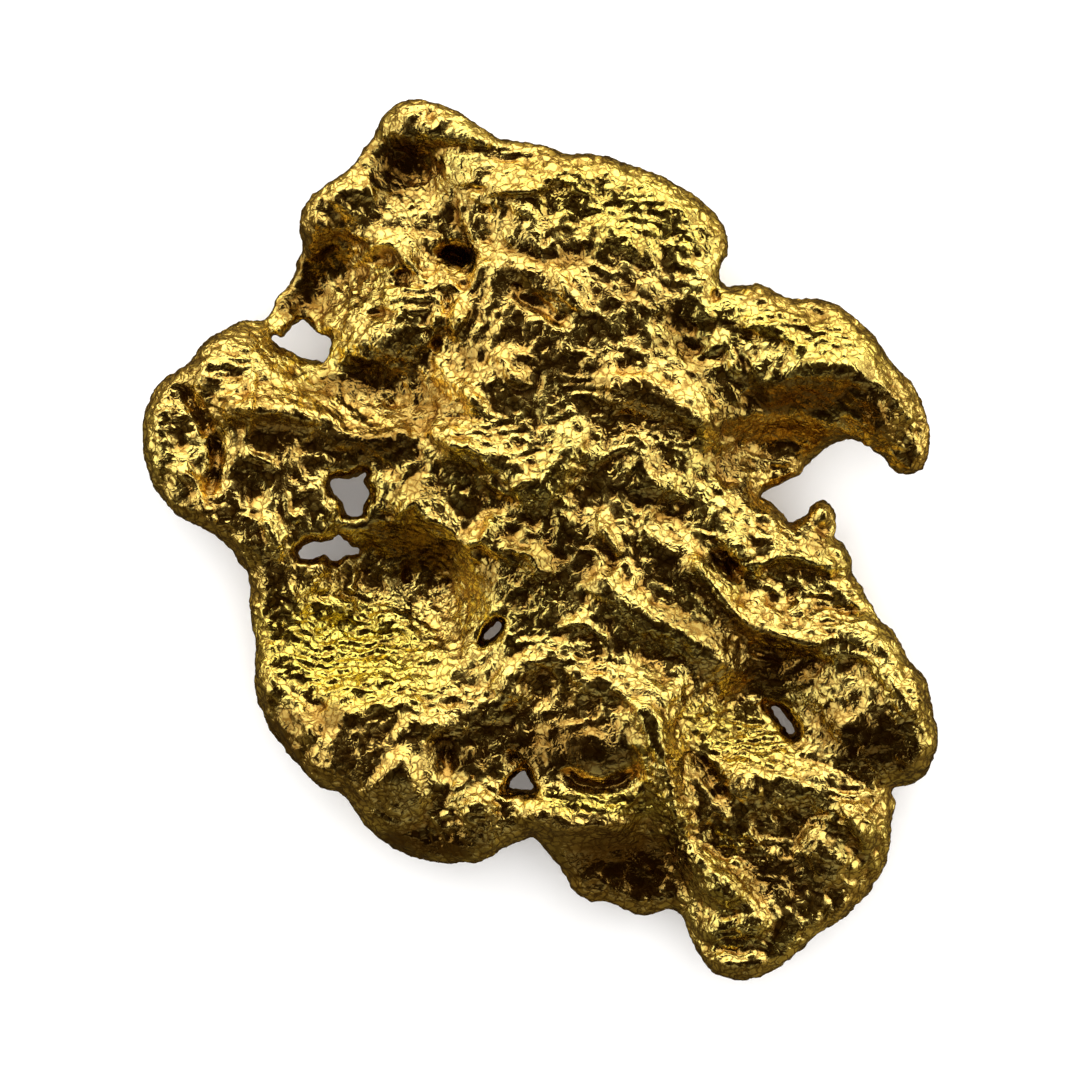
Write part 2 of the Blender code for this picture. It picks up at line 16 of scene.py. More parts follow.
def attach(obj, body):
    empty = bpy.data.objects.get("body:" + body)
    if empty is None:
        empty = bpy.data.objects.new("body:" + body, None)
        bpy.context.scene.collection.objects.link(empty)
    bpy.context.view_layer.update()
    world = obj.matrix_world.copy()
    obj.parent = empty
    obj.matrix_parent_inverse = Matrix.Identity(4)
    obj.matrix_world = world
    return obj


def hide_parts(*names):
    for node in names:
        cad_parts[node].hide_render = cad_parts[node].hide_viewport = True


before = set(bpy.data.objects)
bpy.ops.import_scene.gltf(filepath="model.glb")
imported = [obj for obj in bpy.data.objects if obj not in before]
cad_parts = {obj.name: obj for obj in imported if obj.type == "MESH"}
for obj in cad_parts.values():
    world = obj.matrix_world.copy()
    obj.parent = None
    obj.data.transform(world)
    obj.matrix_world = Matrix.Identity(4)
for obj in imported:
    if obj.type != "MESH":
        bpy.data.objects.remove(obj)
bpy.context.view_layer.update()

# The plan: its step in millimetres, the place over the middle of the nugget's box, and how many
# steps wide the camera's frame is
MM = 0.001
STEP = 0.02
PLAN_MIDDLE = np.array((539.5, 540.0))
FRAME_STEPS = 1080

# The mesh: the spacing of its points, how it is smoothed, and how far it is then let out again
VOXEL = 0.04
SMOOTH_ROUNDS = 10
REGAIN = 0.015

# Its thinning out to TRIANGLES: how readily the points on top give way, against 1 for those
# underneath, how much that counts, and the slope below which a point is underneath
TRIANGLES = 197000
UPPER_YIELD = 0.9
YIELD_WEIGHT = 0.1
UNDERNEATH = -0.1

# The slope (0 upright, 1 level) from which the upper face's relief starts, and over which it grows
RELIEF_FROM = 0.05
RELIEF_OVER = 0.5

# Ridges: a shift of the drawn paths in steps, and one to -Y in half widths, that put the ridge's lit
# side on the path. Then how far out a ridge is worked out, in half widths, the share of its height
# that it keeps at its tips, and the share of its length over which it tapers, at most.
RIDGE_SHIFT = (-1.5, 1)
SUNNY_SIDE = 0.8
RIDGE_REACH = 2.6
RIDGE_TIP = 0.25
RIDGE_TAPER = 0.4

# How far out a lump is worked out, in radii, and how flat the middle of a patch is
LUMP_REACH = 2.4
PATCH_FLATNESS = 4

# Grains of the metal: size, height. BEAD_EDGE is the square of a bead's reach in sizes. Streaks
# have a share of their height outside the streaked patches too. Grain is calmed by the share CALMED
# where the metal is polished or beaded.
COARSE_GRAIN = (0.3, 0.05)
FINE_GRAIN = (0.12, 0.022)
FINE_GRAIN_SHIFT = 7
BEADS = (0.11, 0.05)
BEAD_EDGE = 0.5
STREAKS = (0.12, 0.022)
STREAK_ANGLE = -48
STREAK_STRETCH = 4
STREAKS_ELSEWHERE = 0.3
CALMED = 0.8

# Noise: its fractal dimension factor, how much finer each layer is than the last, and the layers
NOISE_LAYERS = (0.7, 2.1, 2)

# Terraces: length of a step on the way to -Y, its height, where its crest is, and its sway
TERRACE = 0.19
TERRACE_RISE = 0.085
TERRACE_CREST = 0.78
TERRACE_SWAY = 0.16
TERRACE_SWAY_SIZE = 0.5

# Patches of painted shade and painted light: how far their edges sway, in steps, over how many
# millimetres, and the slope where they end
PAINTED_PATCH_SWAY = 9
PAINTED_PATCH_SWAY_SIZE = 0.6
PAINTED_PATCHES_FROM = -0.5

# Rounds of blurring that find how deep a point lies, nearby and more broadly, and the depths in
# millimetres over which a hollow's painted shade and brown stain come in
NEAR_ROUNDS = 6
BROAD_ROUNDS = 60
HOLLOW_NEAR = (0.0, 0.03)
HOLLOW_BROAD = (0.05, 0.4)

# The metal's colours, with painted light and painted shade among them
GREENISH_GOLD = (0.94, 0.79, 0.2)
YELLOW_GOLD = (1.0, 0.77, 0.21)
WARM_GOLD = (1.0, 0.7, 0.18)
# Painted light: a brighter, cleaner yellow for the lit patches
PAINTED_LIGHT_GOLD = (1.0, 0.82, 0.14)
# Painted shade with a brown stain, for the metal's hollows
HOLLOW_SHADE_AND_STAIN_GOLD = (0.6, 0.36, 0.08)
# Painted shade: the dark brown of the shaded patches
PAINTED_SHADE_GOLD = (0.2, 0.095, 0.016)
# Painted shade in the creases between the metal's cells
CREASE_SHADE_GOLD = (0.22, 0.11, 0.015)
TINTS = ((0.3, GREENISH_GOLD), (0.5, YELLOW_GOLD), (0.7, WARM_GOLD))

# The metal's finest grain, which is bump and colour alone: shallow domed cells with painted shade
# in the creases between them, bent by a wobble. A noise has its scale, per metre, and its detail. WOBBLE
# and BUMP_DISTANCE are in metres, and the width of the painted crease shade and DOME in cells. The
# creases' painted shade fades and the bump changes from patch to patch.
TINT_NOISE = (420.0, 4.0)
PATCH_NOISE = (2600.0, 1.0)
WOBBLE_NOISE = (5500.0, 2.0)
WOBBLE = 0.00026
GRAINS_PER_M = 5400.0
CREASE_SHADE_WIDTH = 0.18
CREASE_SHADE_FADE = (0.48, 0.7, 0.0, 0.85)
DOME = 0.3
FINE_SHARE = 0.95
BUMP_OVER = (0.35, 0.65)
BUMP_STRENGTH = (0.13, 0.65)
BUMP_DISTANCE = 0.00002
ROUGH_OVER = (0.3, 0.7)
ROUGHNESS = (0.14, 0.3)

# A soft light: name, compass bearing, elevation, width, height, radiance
LIGHT_DISTANCE = 0.3
SOFTBOXES = (
    ("north_light", 0, 24, 0.26, 0.34, 1.95),
    ("north_west_light", -48, 22, 0.2, 0.32, 1.9),
    ("north_east_light", 47, 22, 0.2, 0.32, 1.9),
    ("west_light", -94, 18, 0.2, 0.26, 1.25),
    ("east_light", 92, 18, 0.2, 0.26, 1.35),
    ("south_light", 178, 20, 0.24, 0.12, 0.2),
)

# The room's glow from straight down (0) over the horizon (0.5) to straight up (1), and how much
# brighter it gets on the way to +X, +Y and +Z
ROOM = (
    (0.04, (0.05, 0.03, 0.01)),
    (0.14, (0.16, 0.12, 0.05)),
    (0.42, (0.36, 0.285, 0.135)),
    (0.54, (0.3, 0.225, 0.1)),
    (0.75, (0.035, 0.02, 0.006)),
)
ROOM_LEAN = (0.25, 0.65, 0)

# The floor, which curves up into a wall, and its own light from above
FLOOR_RADIUS = 0.6
WALL_CURVE = 0.2
WALL_HEIGHT = 0.5
WALL_RINGS = 13
FLOOR_SIDES = 96
FLOOR_WHITE = (0.9, 0.9, 0.9, 1)
FLOOR_ROUGHNESS = 0.9
FLOOR_GLOW = 0.12
FLOOR_LIGHT = 2.6
FLOOR_LIGHT_SPREAD = 60

# The camera: sensor and lens in millimetres, the height that its frame is fitted at, and its range
SENSOR = 36
LENS = 300
CAMERA_LEVEL = 1.8
CAMERA_RANGE = (0.01, 10)

# Patches of plan with their own finish, and patches of painted shade and painted light: middle, radii,
# turn in degrees, amount
BEADED = (
    ((728, 610), (92, 34), 35, 1),
    ((545, 600), (52, 34), 20, 1),
    ((468, 830), (70, 22), 0, 1),
    ((430, 590), (60, 44), 30, 1),
    ((590, 640), (30, 18), 0, 1),
    ((870, 768), (16, 14), 0, 1),
    ((755, 735), (30, 22), 20, 1),
    ((760, 470), (30, 14), 0, 1),
)
STREAKED = (
    ((790, 860), (90, 80), 0, 1),
    ((705, 800), (50, 50), 0, 1),
    ((880, 715), (50, 36), 20, 1),
    ((560, 260), (160, 90), 20, 1),
)
POLISHED = (
    ((425, 120), (40, 18), 0, 1),
    ((405, 775), (46, 30), 0, 1),
    ((270, 435), (26, 20), 0, 1),
    ((850, 360), (40, 20), 15, 1),
    ((790, 430), (50, 18), 0, 1),
    ((600, 750), (50, 30), 0, 1),
    ((600, 845), (60, 26), 0, 1),
    ((645, 800), (20, 24), 0, 1),
    ((855, 725), (30, 16), 10, 1),
    ((780, 682), (36, 14), 0, 1),
    ((447, 660), (12, 26), 0, 1),
    ((505, 165), (26, 20), 0, 1),
)
TERRACED = (
    ((430, 116), (46, 12), 5, 0.6),
    ((620, 210), (100, 34), 18, 0.7),
    ((505, 165), (50, 20), 5, 0.5),
    ((405, 300), (54, 34), 0, 0.8),
    ((230, 365), (46, 26), -10, 0.8),
    ((166, 430), (18, 50), 0, 0.8),
    ((245, 400), (34, 20), 0, 0.6),
    ((790, 332), (74, 22), 12, 0.8),
    ((902, 405), (14, 38), -25, 0.8),
    ((490, 435), (100, 26), 20, 0.7),
    ((345, 650), (96, 54), 10, 1),
    ((250, 590), (14, 60), 0, 0.7),
    ((225, 515), (40, 20), 30, 0.7),
    ((440, 700), (80, 14), -10, 0.8),
    ((560, 650), (90, 16), 20, 0.7),
    ((670, 800), (18, 80), -14, 0.9),
    ((600, 803), (70, 10), 4, 1),
    ((735, 735), (60, 26), 20, 0.9),
    ((850, 800), (36, 40), 20, 0.8),
    ((750, 860), (50, 40), 20, 0.7),
    ((740, 940), (40, 26), 0, 0.7),
    ((745, 560), (80, 18), 35, 0.7),
    ((835, 600), (36, 40), 30, 0.8),
    ((650, 430), (60, 26), 10, 0.7),
    ((480, 800), (40, 24), 0, 0.7),
    ((915, 690), (14, 50), -15, 0.8),
)
# Patches of painted shade, in dark brown
PAINTED_SHADE_PATCHES = (
    ((403, 166), (34, 34), 20, 0.9),
    ((455, 215), (10, 30), -15, 0.6),
    ((458, 258), (18, 14), 0, 0.9),
    ((316, 262), (26, 44), 20, 0.8),
    ((350, 385), (56, 15), 0, 0.8),
    ((568, 256), (22, 14), 0, 0.6),
    ((535, 300), (30, 18), 0, 0.5),
    ((640, 300), (44, 20), 20, 0.4),
    ((560, 370), (56, 24), 0, 0.4),
    ((800, 397), (74, 20), -4, 0.95),
    ((868, 412), (16, 38), -35, 0.95),
    ((785, 437), (56, 20), -5, 0.6),
    ((730, 430), (20, 30), 0, 0.7),
    ((470, 472), (34, 10), 15, 0.6),
    ((376, 446), (46, 14), 0, 0.8),
    ((412, 430), (12, 40), 0, 0.6),
    ((277, 438), (20, 20), 0, 0.6),
    ((215, 460), (8, 40), 0, 0.8),
    ((420, 548), (60, 26), 25, 0.9),
    ((545, 548), (60, 44), 10, 0.5),
    ((645, 500), (40, 12), 15, 0.7),
    ((725, 565), (30, 10), 42, 0.8),
    ((690, 622), (50, 12), 30, 0.7),
    ((785, 670), (48, 20), 15, 0.9),
    ((865, 738), (56, 26), 15, 0.8),
    ((262, 735), (12, 50), -25, 0.8),
    ((430, 842), (60, 16), 0, 0.9),
    ((560, 748), (80, 28), 0, 0.8),
    ((465, 755), (22, 28), 0, 0.7),
    ((625, 862), (70, 32), 12, 0.9),
    ((712, 782), (12, 40), -30, 0.6),
    ((795, 830), (44, 14), 25, 0.4),
    ((335, 719), (26, 16), 20, 0.7),
    ((425, 402), (40, 16), 25, 0.7),
    ((474, 362), (14, 16), 0, 0.6),
    ((722, 462), (20, 16), 0, 0.7),
    ((420, 486), (22, 12), 0, 0.7),
    ((488, 578), (12, 22), -20, 0.8),
    ((318, 300), (22, 20), 0, 0.7),
    ((365, 150), (10, 24), 40, 0.6),
    ((672, 350), (24, 12), 20, 0.5),
    ((700, 372), (14, 14), 0, 0.5),
    ((292, 722), (20, 16), 30, 0.7),
    ((388, 256), (12, 8), -20, 0.9),
    ((402, 277), (8, 9), 0, 0.9),
    ((382, 314), (10, 8), 0, 0.8),
    ((662, 512), (30, 10), 20, 0.7),
    ((520, 253), (24, 8), 15, 0.6),
    ((815, 540), (12, 16), 0, 0.6),
    ((298, 303), (32, 18), 0, 0.8),
    ((668, 572), (30, 18), 20, 0.6),
    ((286, 748), (20, 44), -35, 0.8),
    ((815, 318), (26, 12), 10, 0.5),
    ((682, 330), (18, 34), -20, 0.7),
    ((528, 296), (28, 10), 25, 0.6),
    ((385, 388), (36, 18), 20, 0.5),
    ((770, 875), (36, 20), 10, 0.6),
    ((520, 590), (22, 40), 0, 0.5),
)
# Patches of painted light, a brighter yellow, which also keep out the hollows' painted shade
PAINTED_LIGHT_PATCHES = (
    ((345, 650), (100, 56), 10, 1),
    ((620, 215), (110, 44), 18, 0.5),
    ((600, 803), (70, 12), 4, 0.8),
    ((735, 735), (60, 30), 20, 0.7),
    ((800, 335), (80, 26), 12, 0.5),
)

# The fine relief, by places on the nugget. A ridge: half width in steps, height in millimetres (a
# groove's is negative), path. A lump: middle, radii, turn in degrees, height (a pit's is
# negative), flatness of the top.
NORTH_WEST_RIDGES = (
    (3.5, 0.06, ((423, 115), (428, 127), (437, 128), (443, 120), (441, 110), (433, 106))),
    (5, -0.05, ((385, 132), (400, 138), (440, 140), (478, 144), (500, 148))),
    (2.5, 0.05, ((388, 141), (396, 150), (402, 158), (412, 163), (419, 172), (423, 185), (426, 198))),
    (3, 0.05, ((395, 156), (395, 169))),
    (3, 0.04, ((465, 160), (475, 165), (480, 172))),
    (4, 0.1, ((337, 195), (345, 202), (354, 210))),
    (4, 0.12, ((362, 258), (368, 248), (376, 243), (388, 240), (397, 246), (405, 253), (413, 262),
               (424, 275), (432, 283))),
    (3, 0.04, ((330, 268), (335, 285), (345, 297))),
    (3, -0.04, ((336, 266), (341, 283), (350, 294))),
    (2.5, 0.03, ((343, 280), (348, 287), (352, 294))),
    (4.5, 0.12, ((440, 278), (455, 283), (466, 292), (478, 278), (480, 262), (475, 250))),
    (4.5, 0.1, ((480, 240), (470, 225), (463, 210), (461, 196))),
    (3, 0.05, ((470, 203), (478, 209), (490, 203))),
    (4, -0.07, ((499, 190), (505, 199), (509, 212), (511, 222))),
    (4, -0.06, ((480, 190), (495, 196), (520, 195), (540, 196))),
    (3, 0.05, ((318, 262), (322, 276), (326, 290))),
    (3, 0.05, ((310, 275), (316, 288), (318, 300))),
    (4, 0.07, ((352, 226), (362, 232), (374, 231), (386, 226))),
    (3, 0.06, ((332, 236), (340, 243), (350, 244))),
    (3, 0.05, ((405, 232), (415, 238), (426, 240))),
)
NORTH_WEST_LUMPS = (
    ((388, 258), (13, 8), -20, -0.22, 3), ((402, 278), (8, 9), 0, -0.2, 3),
    ((382, 315), (10, 7), 0, -0.18, 3), ((431, 117), (4, 5), 0, -0.1),
    ((477, 191), (14, 3.5), 4, -0.15), ((363, 155), (4, 4), 0, 0.05), ((358, 212), (4, 7), 0, 0.08),
    ((322, 225), (6, 8), 0, 0.08), ((456, 257), (17, 8), 12, -0.3, 4),
    ((465, 264), (7, 9), 0, -0.25, 4), ((437, 243), (6, 7), 0, 0.12), ((487, 211), (7, 4), 0, -0.12),
    ((413, 205), (5, 4), 0, 0.05), ((398, 200), (4, 4), 0, 0.05), ((455, 213), (5, 6), 0, -0.06),
)
WEST_BAND_RIDGES = (
    (8, 0.12, ((212, 408), (240, 404), (270, 404), (300, 408), (326, 418))),
    (3, 0.06, ((400, 289), (415, 287), (430, 288))),
    (4, 0.08, ((440, 295), (438, 310), (437, 325), (441, 333))),
    (5, -0.15, ((447, 285), (450, 300), (449, 315), (447, 328), (437, 340), (442, 350))),
    (4, 0.08, ((458, 300), (462, 310), (458, 325), (455, 335))),
    (3.5, 0.07, ((470, 303), (466, 315), (462, 325))),
    (7, 0.14, ((433, 345), (440, 355), (447, 365), (455, 378), (468, 388), (480, 398), (490, 407))),
    (4, 0.06, ((425, 365), (440, 375), (450, 378))),
    (8, -0.1, ((420, 402), (440, 407), (460, 410), (480, 413))),
    (2.5, 0.04, ((350, 365), (365, 372), (378, 382), (390, 392), (400, 400))),
    (3, 0.06, ((340, 400), (348, 408), (358, 420), (362, 430))),
    (2.5, 0.04, ((355, 405), (365, 418), (372, 425))),
    (2.5, -0.05, ((330, 406), (345, 420), (355, 428))),
    (2.5, 0.04, ((300, 362), (309, 363), (318, 365))),
    (3, 0.05, ((385, 352), (392, 362), (396, 372))),
    (3, 0.05, ((408, 378), (416, 388), (418, 398))),
)
WEST_BAND_LUMPS = (
    ((372, 317), (5, 4), 0, -0.1), ((449, 312), (5, 6), 0, -0.1), ((437, 343), (4, 5), 0, -0.1),
    ((468, 365), (5, 8), 0, -0.1), ((391, 404), (6, 5), 0, -0.15), ((412, 312), (5, 5), 0, 0.05),
    ((424, 322), (5, 4), 0, -0.05), ((425, 345), (6, 5), 0, 0.05), ((402, 360), (4, 5), 0, -0.06),
)
WEST_LOBE_RIDGES = (
    (5, 0.15, ((170, 465), (183, 468), (197, 475), (203, 490), (208, 508), (222, 522))),
    (3.5, 0.07, ((215, 388), (222, 393), (235, 392), (243, 383), (247, 375))),
    (3, 0.06, ((205, 395), (215, 400), (228, 403))),
    (4, 0.12, ((255, 365), (256, 382), (255, 400), (252, 418), (250, 430), (247, 440))),
    (3, 0.05, ((250, 395), (249, 402), (248, 410))),
    (3, 0.05, ((183, 412), (192, 413), (200, 417))),
    (4, 0.12, ((248, 440), (255, 452), (268, 457), (280, 463))),
    (4, 0.1, ((295, 440), (291, 455), (289, 465))),
    (3, 0.06, ((297, 487), (307, 490), (320, 484))),
    (4, 0.1, ((290, 485), (290, 505), (298, 515), (305, 505))),
    (3, 0.05, ((325, 500), (330, 506), (334, 512))),
    (3, 0.05, ((318, 515), (324, 515), (330, 515))),
    (7, 0.14, ((258, 520), (268, 517), (275, 530), (280, 545))),
    (3, 0.05, ((245, 507), (250, 512), (255, 517))),
    (3, 0.06, ((240, 537), (255, 540), (260, 530))),
    (2.5, 0.03, ((245, 466), (255, 468), (265, 467))),
    (3, 0.06, ((170, 385), (180, 380), (190, 383))),
    (3, 0.05, ((152, 450), (158, 462), (166, 474))),
    (3.5, 0.06, ((210, 440), (206, 452), (198, 460))),
    (3, 0.05, ((214, 352), (224, 345), (236, 338))),
    (3, 0.05, ((205, 365), (216, 360), (222, 354))),
    (3, 0.05, ((268, 385), (280, 390), (294, 392), (306, 395))),
    (3, 0.05, ((278, 372), (292, 378), (306, 380))),
)
WEST_LOBE_LUMPS = (
    ((229, 376), (13, 8), 0, -0.15), ((222, 445), (8, 10), 0, -0.08), ((255, 495), (10, 16), 0, -0.15),
    ((205, 425), (5, 5), 0, -0.06), ((190, 440), (5, 4), 0, 0.05), ((322, 470), (5, 5), 0, -0.06),
    ((215, 510), (4, 4), 0, 0.05),
)
SADDLE_RIDGES = (
    (5, -0.08, ((400, 426), (402, 436), (404, 446))),
    (5, 0.12, ((430, 418), (437, 428), (445, 438), (460, 442), (475, 445), (487, 455), (500, 462))),
    (4, 0.1, ((487, 472), (495, 480), (502, 486), (512, 487), (522, 480), (532, 478))),
    (4.5, 0.13, ((385, 518), (396, 518), (402, 510), (410, 503), (418, 498), (423, 507), (430, 513),
                 (445, 521), (455, 530), (463, 536), (475, 538), (485, 533), (490, 525), (495, 512))),
    (3, 0.06, ((400, 480), (408, 470), (415, 460), (422, 460))),
    (3.5, 0.08, ((440, 573), (450, 572), (459, 578), (462, 588))),
    (2.5, 0.05, ((345, 585), (360, 590), (375, 600))),
    (5, 0.12, ((290, 580), (298, 595), (305, 610))),
    (3, 0.05, ((402, 448), (412, 452), (420, 448))),
    (3, 0.05, ((384, 572), (392, 582), (396, 594))),
    (3, 0.05, ((428, 604), (440, 612), (448, 624))),
)
SADDLE_LUMPS = (
    ((385, 510), (6, 4), 0, 0.07), ((451, 583), (6, 6), 0, -0.12), ((407, 575), (7, 9), 0, -0.2),
    ((389, 567), (4, 4), 0, 0.06), ((400, 572), (3.5, 3.5), 0, 0.05), ((352, 572), (3.5, 8), 0, 0.06),
    ((405, 436), (4, 4), 0, 0.05), ((372, 500), (5, 5), 0, -0.06), ((380, 540), (6, 5), 0, 0.05),
)
CENTRE_RIDGES = (
    (4, 0.1, ((480, 532), (490, 540), (500, 547), (510, 545), (520, 548), (530, 550), (537, 558),
              (540, 565), (550, 567), (558, 563))),
    (5, 0.14, ((598, 515), (603, 525), (610, 533), (617, 545), (622, 553))),
    (4, 0.08, ((585, 450), (595, 456), (605, 455), (615, 448), (625, 445), (635, 450))),
    (2.5, 0.05, ((655, 525), (665, 520), (675, 525), (680, 532))),
    (2.5, 0.05, ((650, 510), (665, 505), (680, 508))),
    (3.5, 0.08, ((580, 547), (590, 546), (600, 552), (603, 562), (600, 572), (612, 572), (620, 565),
                 (625, 560), (632, 568), (635, 578), (630, 590))),
    (3, 0.05, ((515, 583), (523, 584), (530, 585))),
    (4, 0.1, ((560, 622), (575, 618), (590, 622), (600, 628), (606, 632))),
    (3, 0.05, ((520, 432), (530, 440), (534, 450))),
    (3, 0.05, ((548, 500), (545, 512), (548, 524))),
    (3, 0.05, ((520, 520), (530, 528), (542, 532))),
    (3, 0.05, ((600, 604), (610, 610), (620, 606))),
    (3.5, 0.07, ((640, 555), (652, 560), (662, 556))),
    (3, 0.05, ((560, 540), (570, 545), (572, 556))),
    (3, 0.05, ((655, 580), (668, 588), (680, 590))),
)
CENTRE_LUMPS = (
    ((503, 525), (15, 9), 0, 0.1), ((622, 508), (8, 8), 0, 0.08), ((612, 563), (6, 5), 0, -0.12),
    ((512, 592), (6, 5), 0, 0.06), ((575, 560), (5, 5), 0, 0.05), ((535, 572), (5, 4), 0, 0.05),
    ((685, 580), (5, 5), 0, -0.06),
)
CLAW_RIDGES = (
    (4, 0.1, ((700, 308), (709, 313), (718, 318))),
    (3, 0.06, ((750, 295), (762, 298), (772, 300))),
    (6, 0.14, ((738, 330), (742, 326), (755, 323), (770, 324), (780, 328), (788, 335), (798, 342),
               (808, 348))),
    (4, 0.1, ((740, 345), (747, 352), (755, 365), (763, 375))),
    (3, 0.06, ((803, 318), (810, 328), (820, 330), (825, 325))),
    (3, 0.06, ((790, 305), (797, 313), (800, 320))),
    (6, 0.14, ((872, 375), (880, 380), (888, 388), (895, 395), (902, 405), (910, 415))),
    (4, 0.08, ((835, 400), (845, 408), (855, 415), (862, 412))),
    (3, 0.08, ((840, 428), (850, 432), (862, 437), (872, 441))),
    (3, 0.08, ((745, 450), (755, 455), (770, 458), (785, 460), (795, 455))),
    (3, 0.06, ((885, 432), (895, 440), (905, 445), (912, 440))),
    (3, 0.06, ((890, 445), (897, 455), (905, 462), (915, 462))),
    (3, -0.05, ((880, 415), (890, 420), (905, 425), (915, 430))),
    (3, 0.05, ((768, 308), (778, 314), (784, 322))),
    (3, 0.05, ((800, 358), (812, 362), (824, 360))),
    (3, 0.05, ((870, 398), (878, 408), (880, 420))),
    (3, 0.05, ((728, 345), (734, 358), (736, 372))),
    (3, 0.06, ((726, 380), (734, 392), (738, 404))),
)
CLAW_LUMPS = (
    ((748, 336), (13, 5), 10, -0.15), ((815, 316), (14, 6), 25, -0.12), ((768, 402), (4, 4), 0, 0.07),
    ((796, 452), (4, 4), 0, 0.06), ((803, 448), (4, 4), 0, 0.05), ((725, 468), (8, 6), 0, 0.08),
    ((740, 474), (6, 6), 0, 0.07), ((730, 482), (6, 4), 0, -0.06), ((770, 468), (3.5, 3.5), 0, -0.05),
    ((775, 475), (4, 4), 0, 0.05),
)
EAST_RIDGES = (
    (4, 0.07, ((712, 470), (718, 480), (723, 492))),
    (6, -0.1, ((722, 545), (732, 558), (742, 570))),
    (5, 0.12, ((735, 560), (745, 563), (755, 562), (765, 558), (775, 553), (785, 550), (800, 552),
               (815, 558), (830, 562), (840, 562))),
    (5, -0.08, ((780, 558), (800, 564), (820, 569), (840, 574), (848, 580))),
    (4, 0.08, ((835, 542), (843, 552), (848, 562), (848, 572))),
    (5, 0.15, ((693, 548), (698, 562), (705, 572), (715, 585), (722, 595), (732, 605), (740, 613),
               (755, 624), (770, 627), (785, 632), (800, 638), (815, 640), (822, 633))),
    (4, 0.08, ((800, 600), (803, 612), (812, 625), (818, 630))),
    (3, 0.06, ((822, 620), (835, 623), (850, 621))),
    (3, 0.06, ((845, 590), (853, 598), (860, 605))),
    (3, 0.06, ((757, 612), (761, 606), (769, 605), (776, 611), (774, 618), (766, 620), (759, 617))),
    (3, 0.05, ((775, 570), (790, 578), (806, 582))),
    (3, 0.05, ((760, 575), (770, 584), (782, 588))),
    (3, 0.05, ((800, 586), (816, 590), (832, 590))),
    (3, 0.05, ((748, 592), (758, 598), (768, 596))),
    (3, 0.05, ((812, 540), (820, 546), (830, 546))),
    (3, 0.05, ((802, 530), (806, 540), (804, 548))),
    (3, 0.04, ((856, 640), (870, 642), (882, 650))),
    (3, 0.04, ((850, 648), (866, 652), (878, 662))),
    (2.5, 0.04, ((884, 660), (892, 678), (898, 692))),
    (3, 0.05, ((908, 672), (916, 686), (920, 700))),
    (4, 0.09, ((820, 652), (840, 648), (860, 652), (875, 657), (882, 668), (890, 680), (897, 690))),
    (3, 0.06, ((750, 655), (765, 657), (780, 660), (795, 663), (805, 656), (820, 652), (828, 648))),
    (3, 0.04, ((750, 679), (780, 682), (810, 678))),
    (3, 0.04, ((885, 720), (893, 724), (900, 728))),
    (3, 0.05, ((885, 750), (886, 758), (888, 765))),
    (3, 0.05, ((895, 748), (905, 757), (912, 762))),
    (3, 0.06, ((790, 735), (800, 730), (810, 726), (820, 722))),
)
EAST_LUMPS = (
    ((690, 435), (7, 5), 0, -0.12), ((733, 512), (9, 6), 0, -0.06), ((762, 525), (8, 6), 0, -0.1),
    ((755, 520), (3.5, 3.5), 0, -0.05), ((823, 530), (9, 8), 0, -0.18), ((743, 597), (8, 8), 0, -0.12),
    ((768, 600), (6, 7), 0, -0.12), ((789, 597), (6, 8), 0, -0.18), ((748, 703), (6, 6), 0, 0.09),
    ((825, 668), (6, 5), 20, 0.09), ((818, 664), (12, 9), 0, -0.1), ((770, 672), (5, 3), 0, 0.06),
    ((783, 675), (6, 3), 0, 0.06), ((820, 691), (6, 4), 0, 0.05), ((835, 698), (6, 4), 20, 0.06),
    ((842, 725), (13, 10), 0, 0.12), ((874, 768), (4, 4), 0, 0.06), ((874, 758), (3.5, 3.5), 0, 0.05),
    ((900, 763), (12, 12), 0, 0.06), ((712, 684), (6, 6), 0, -0.08), ((720, 700), (5, 5), 0, -0.06),
)
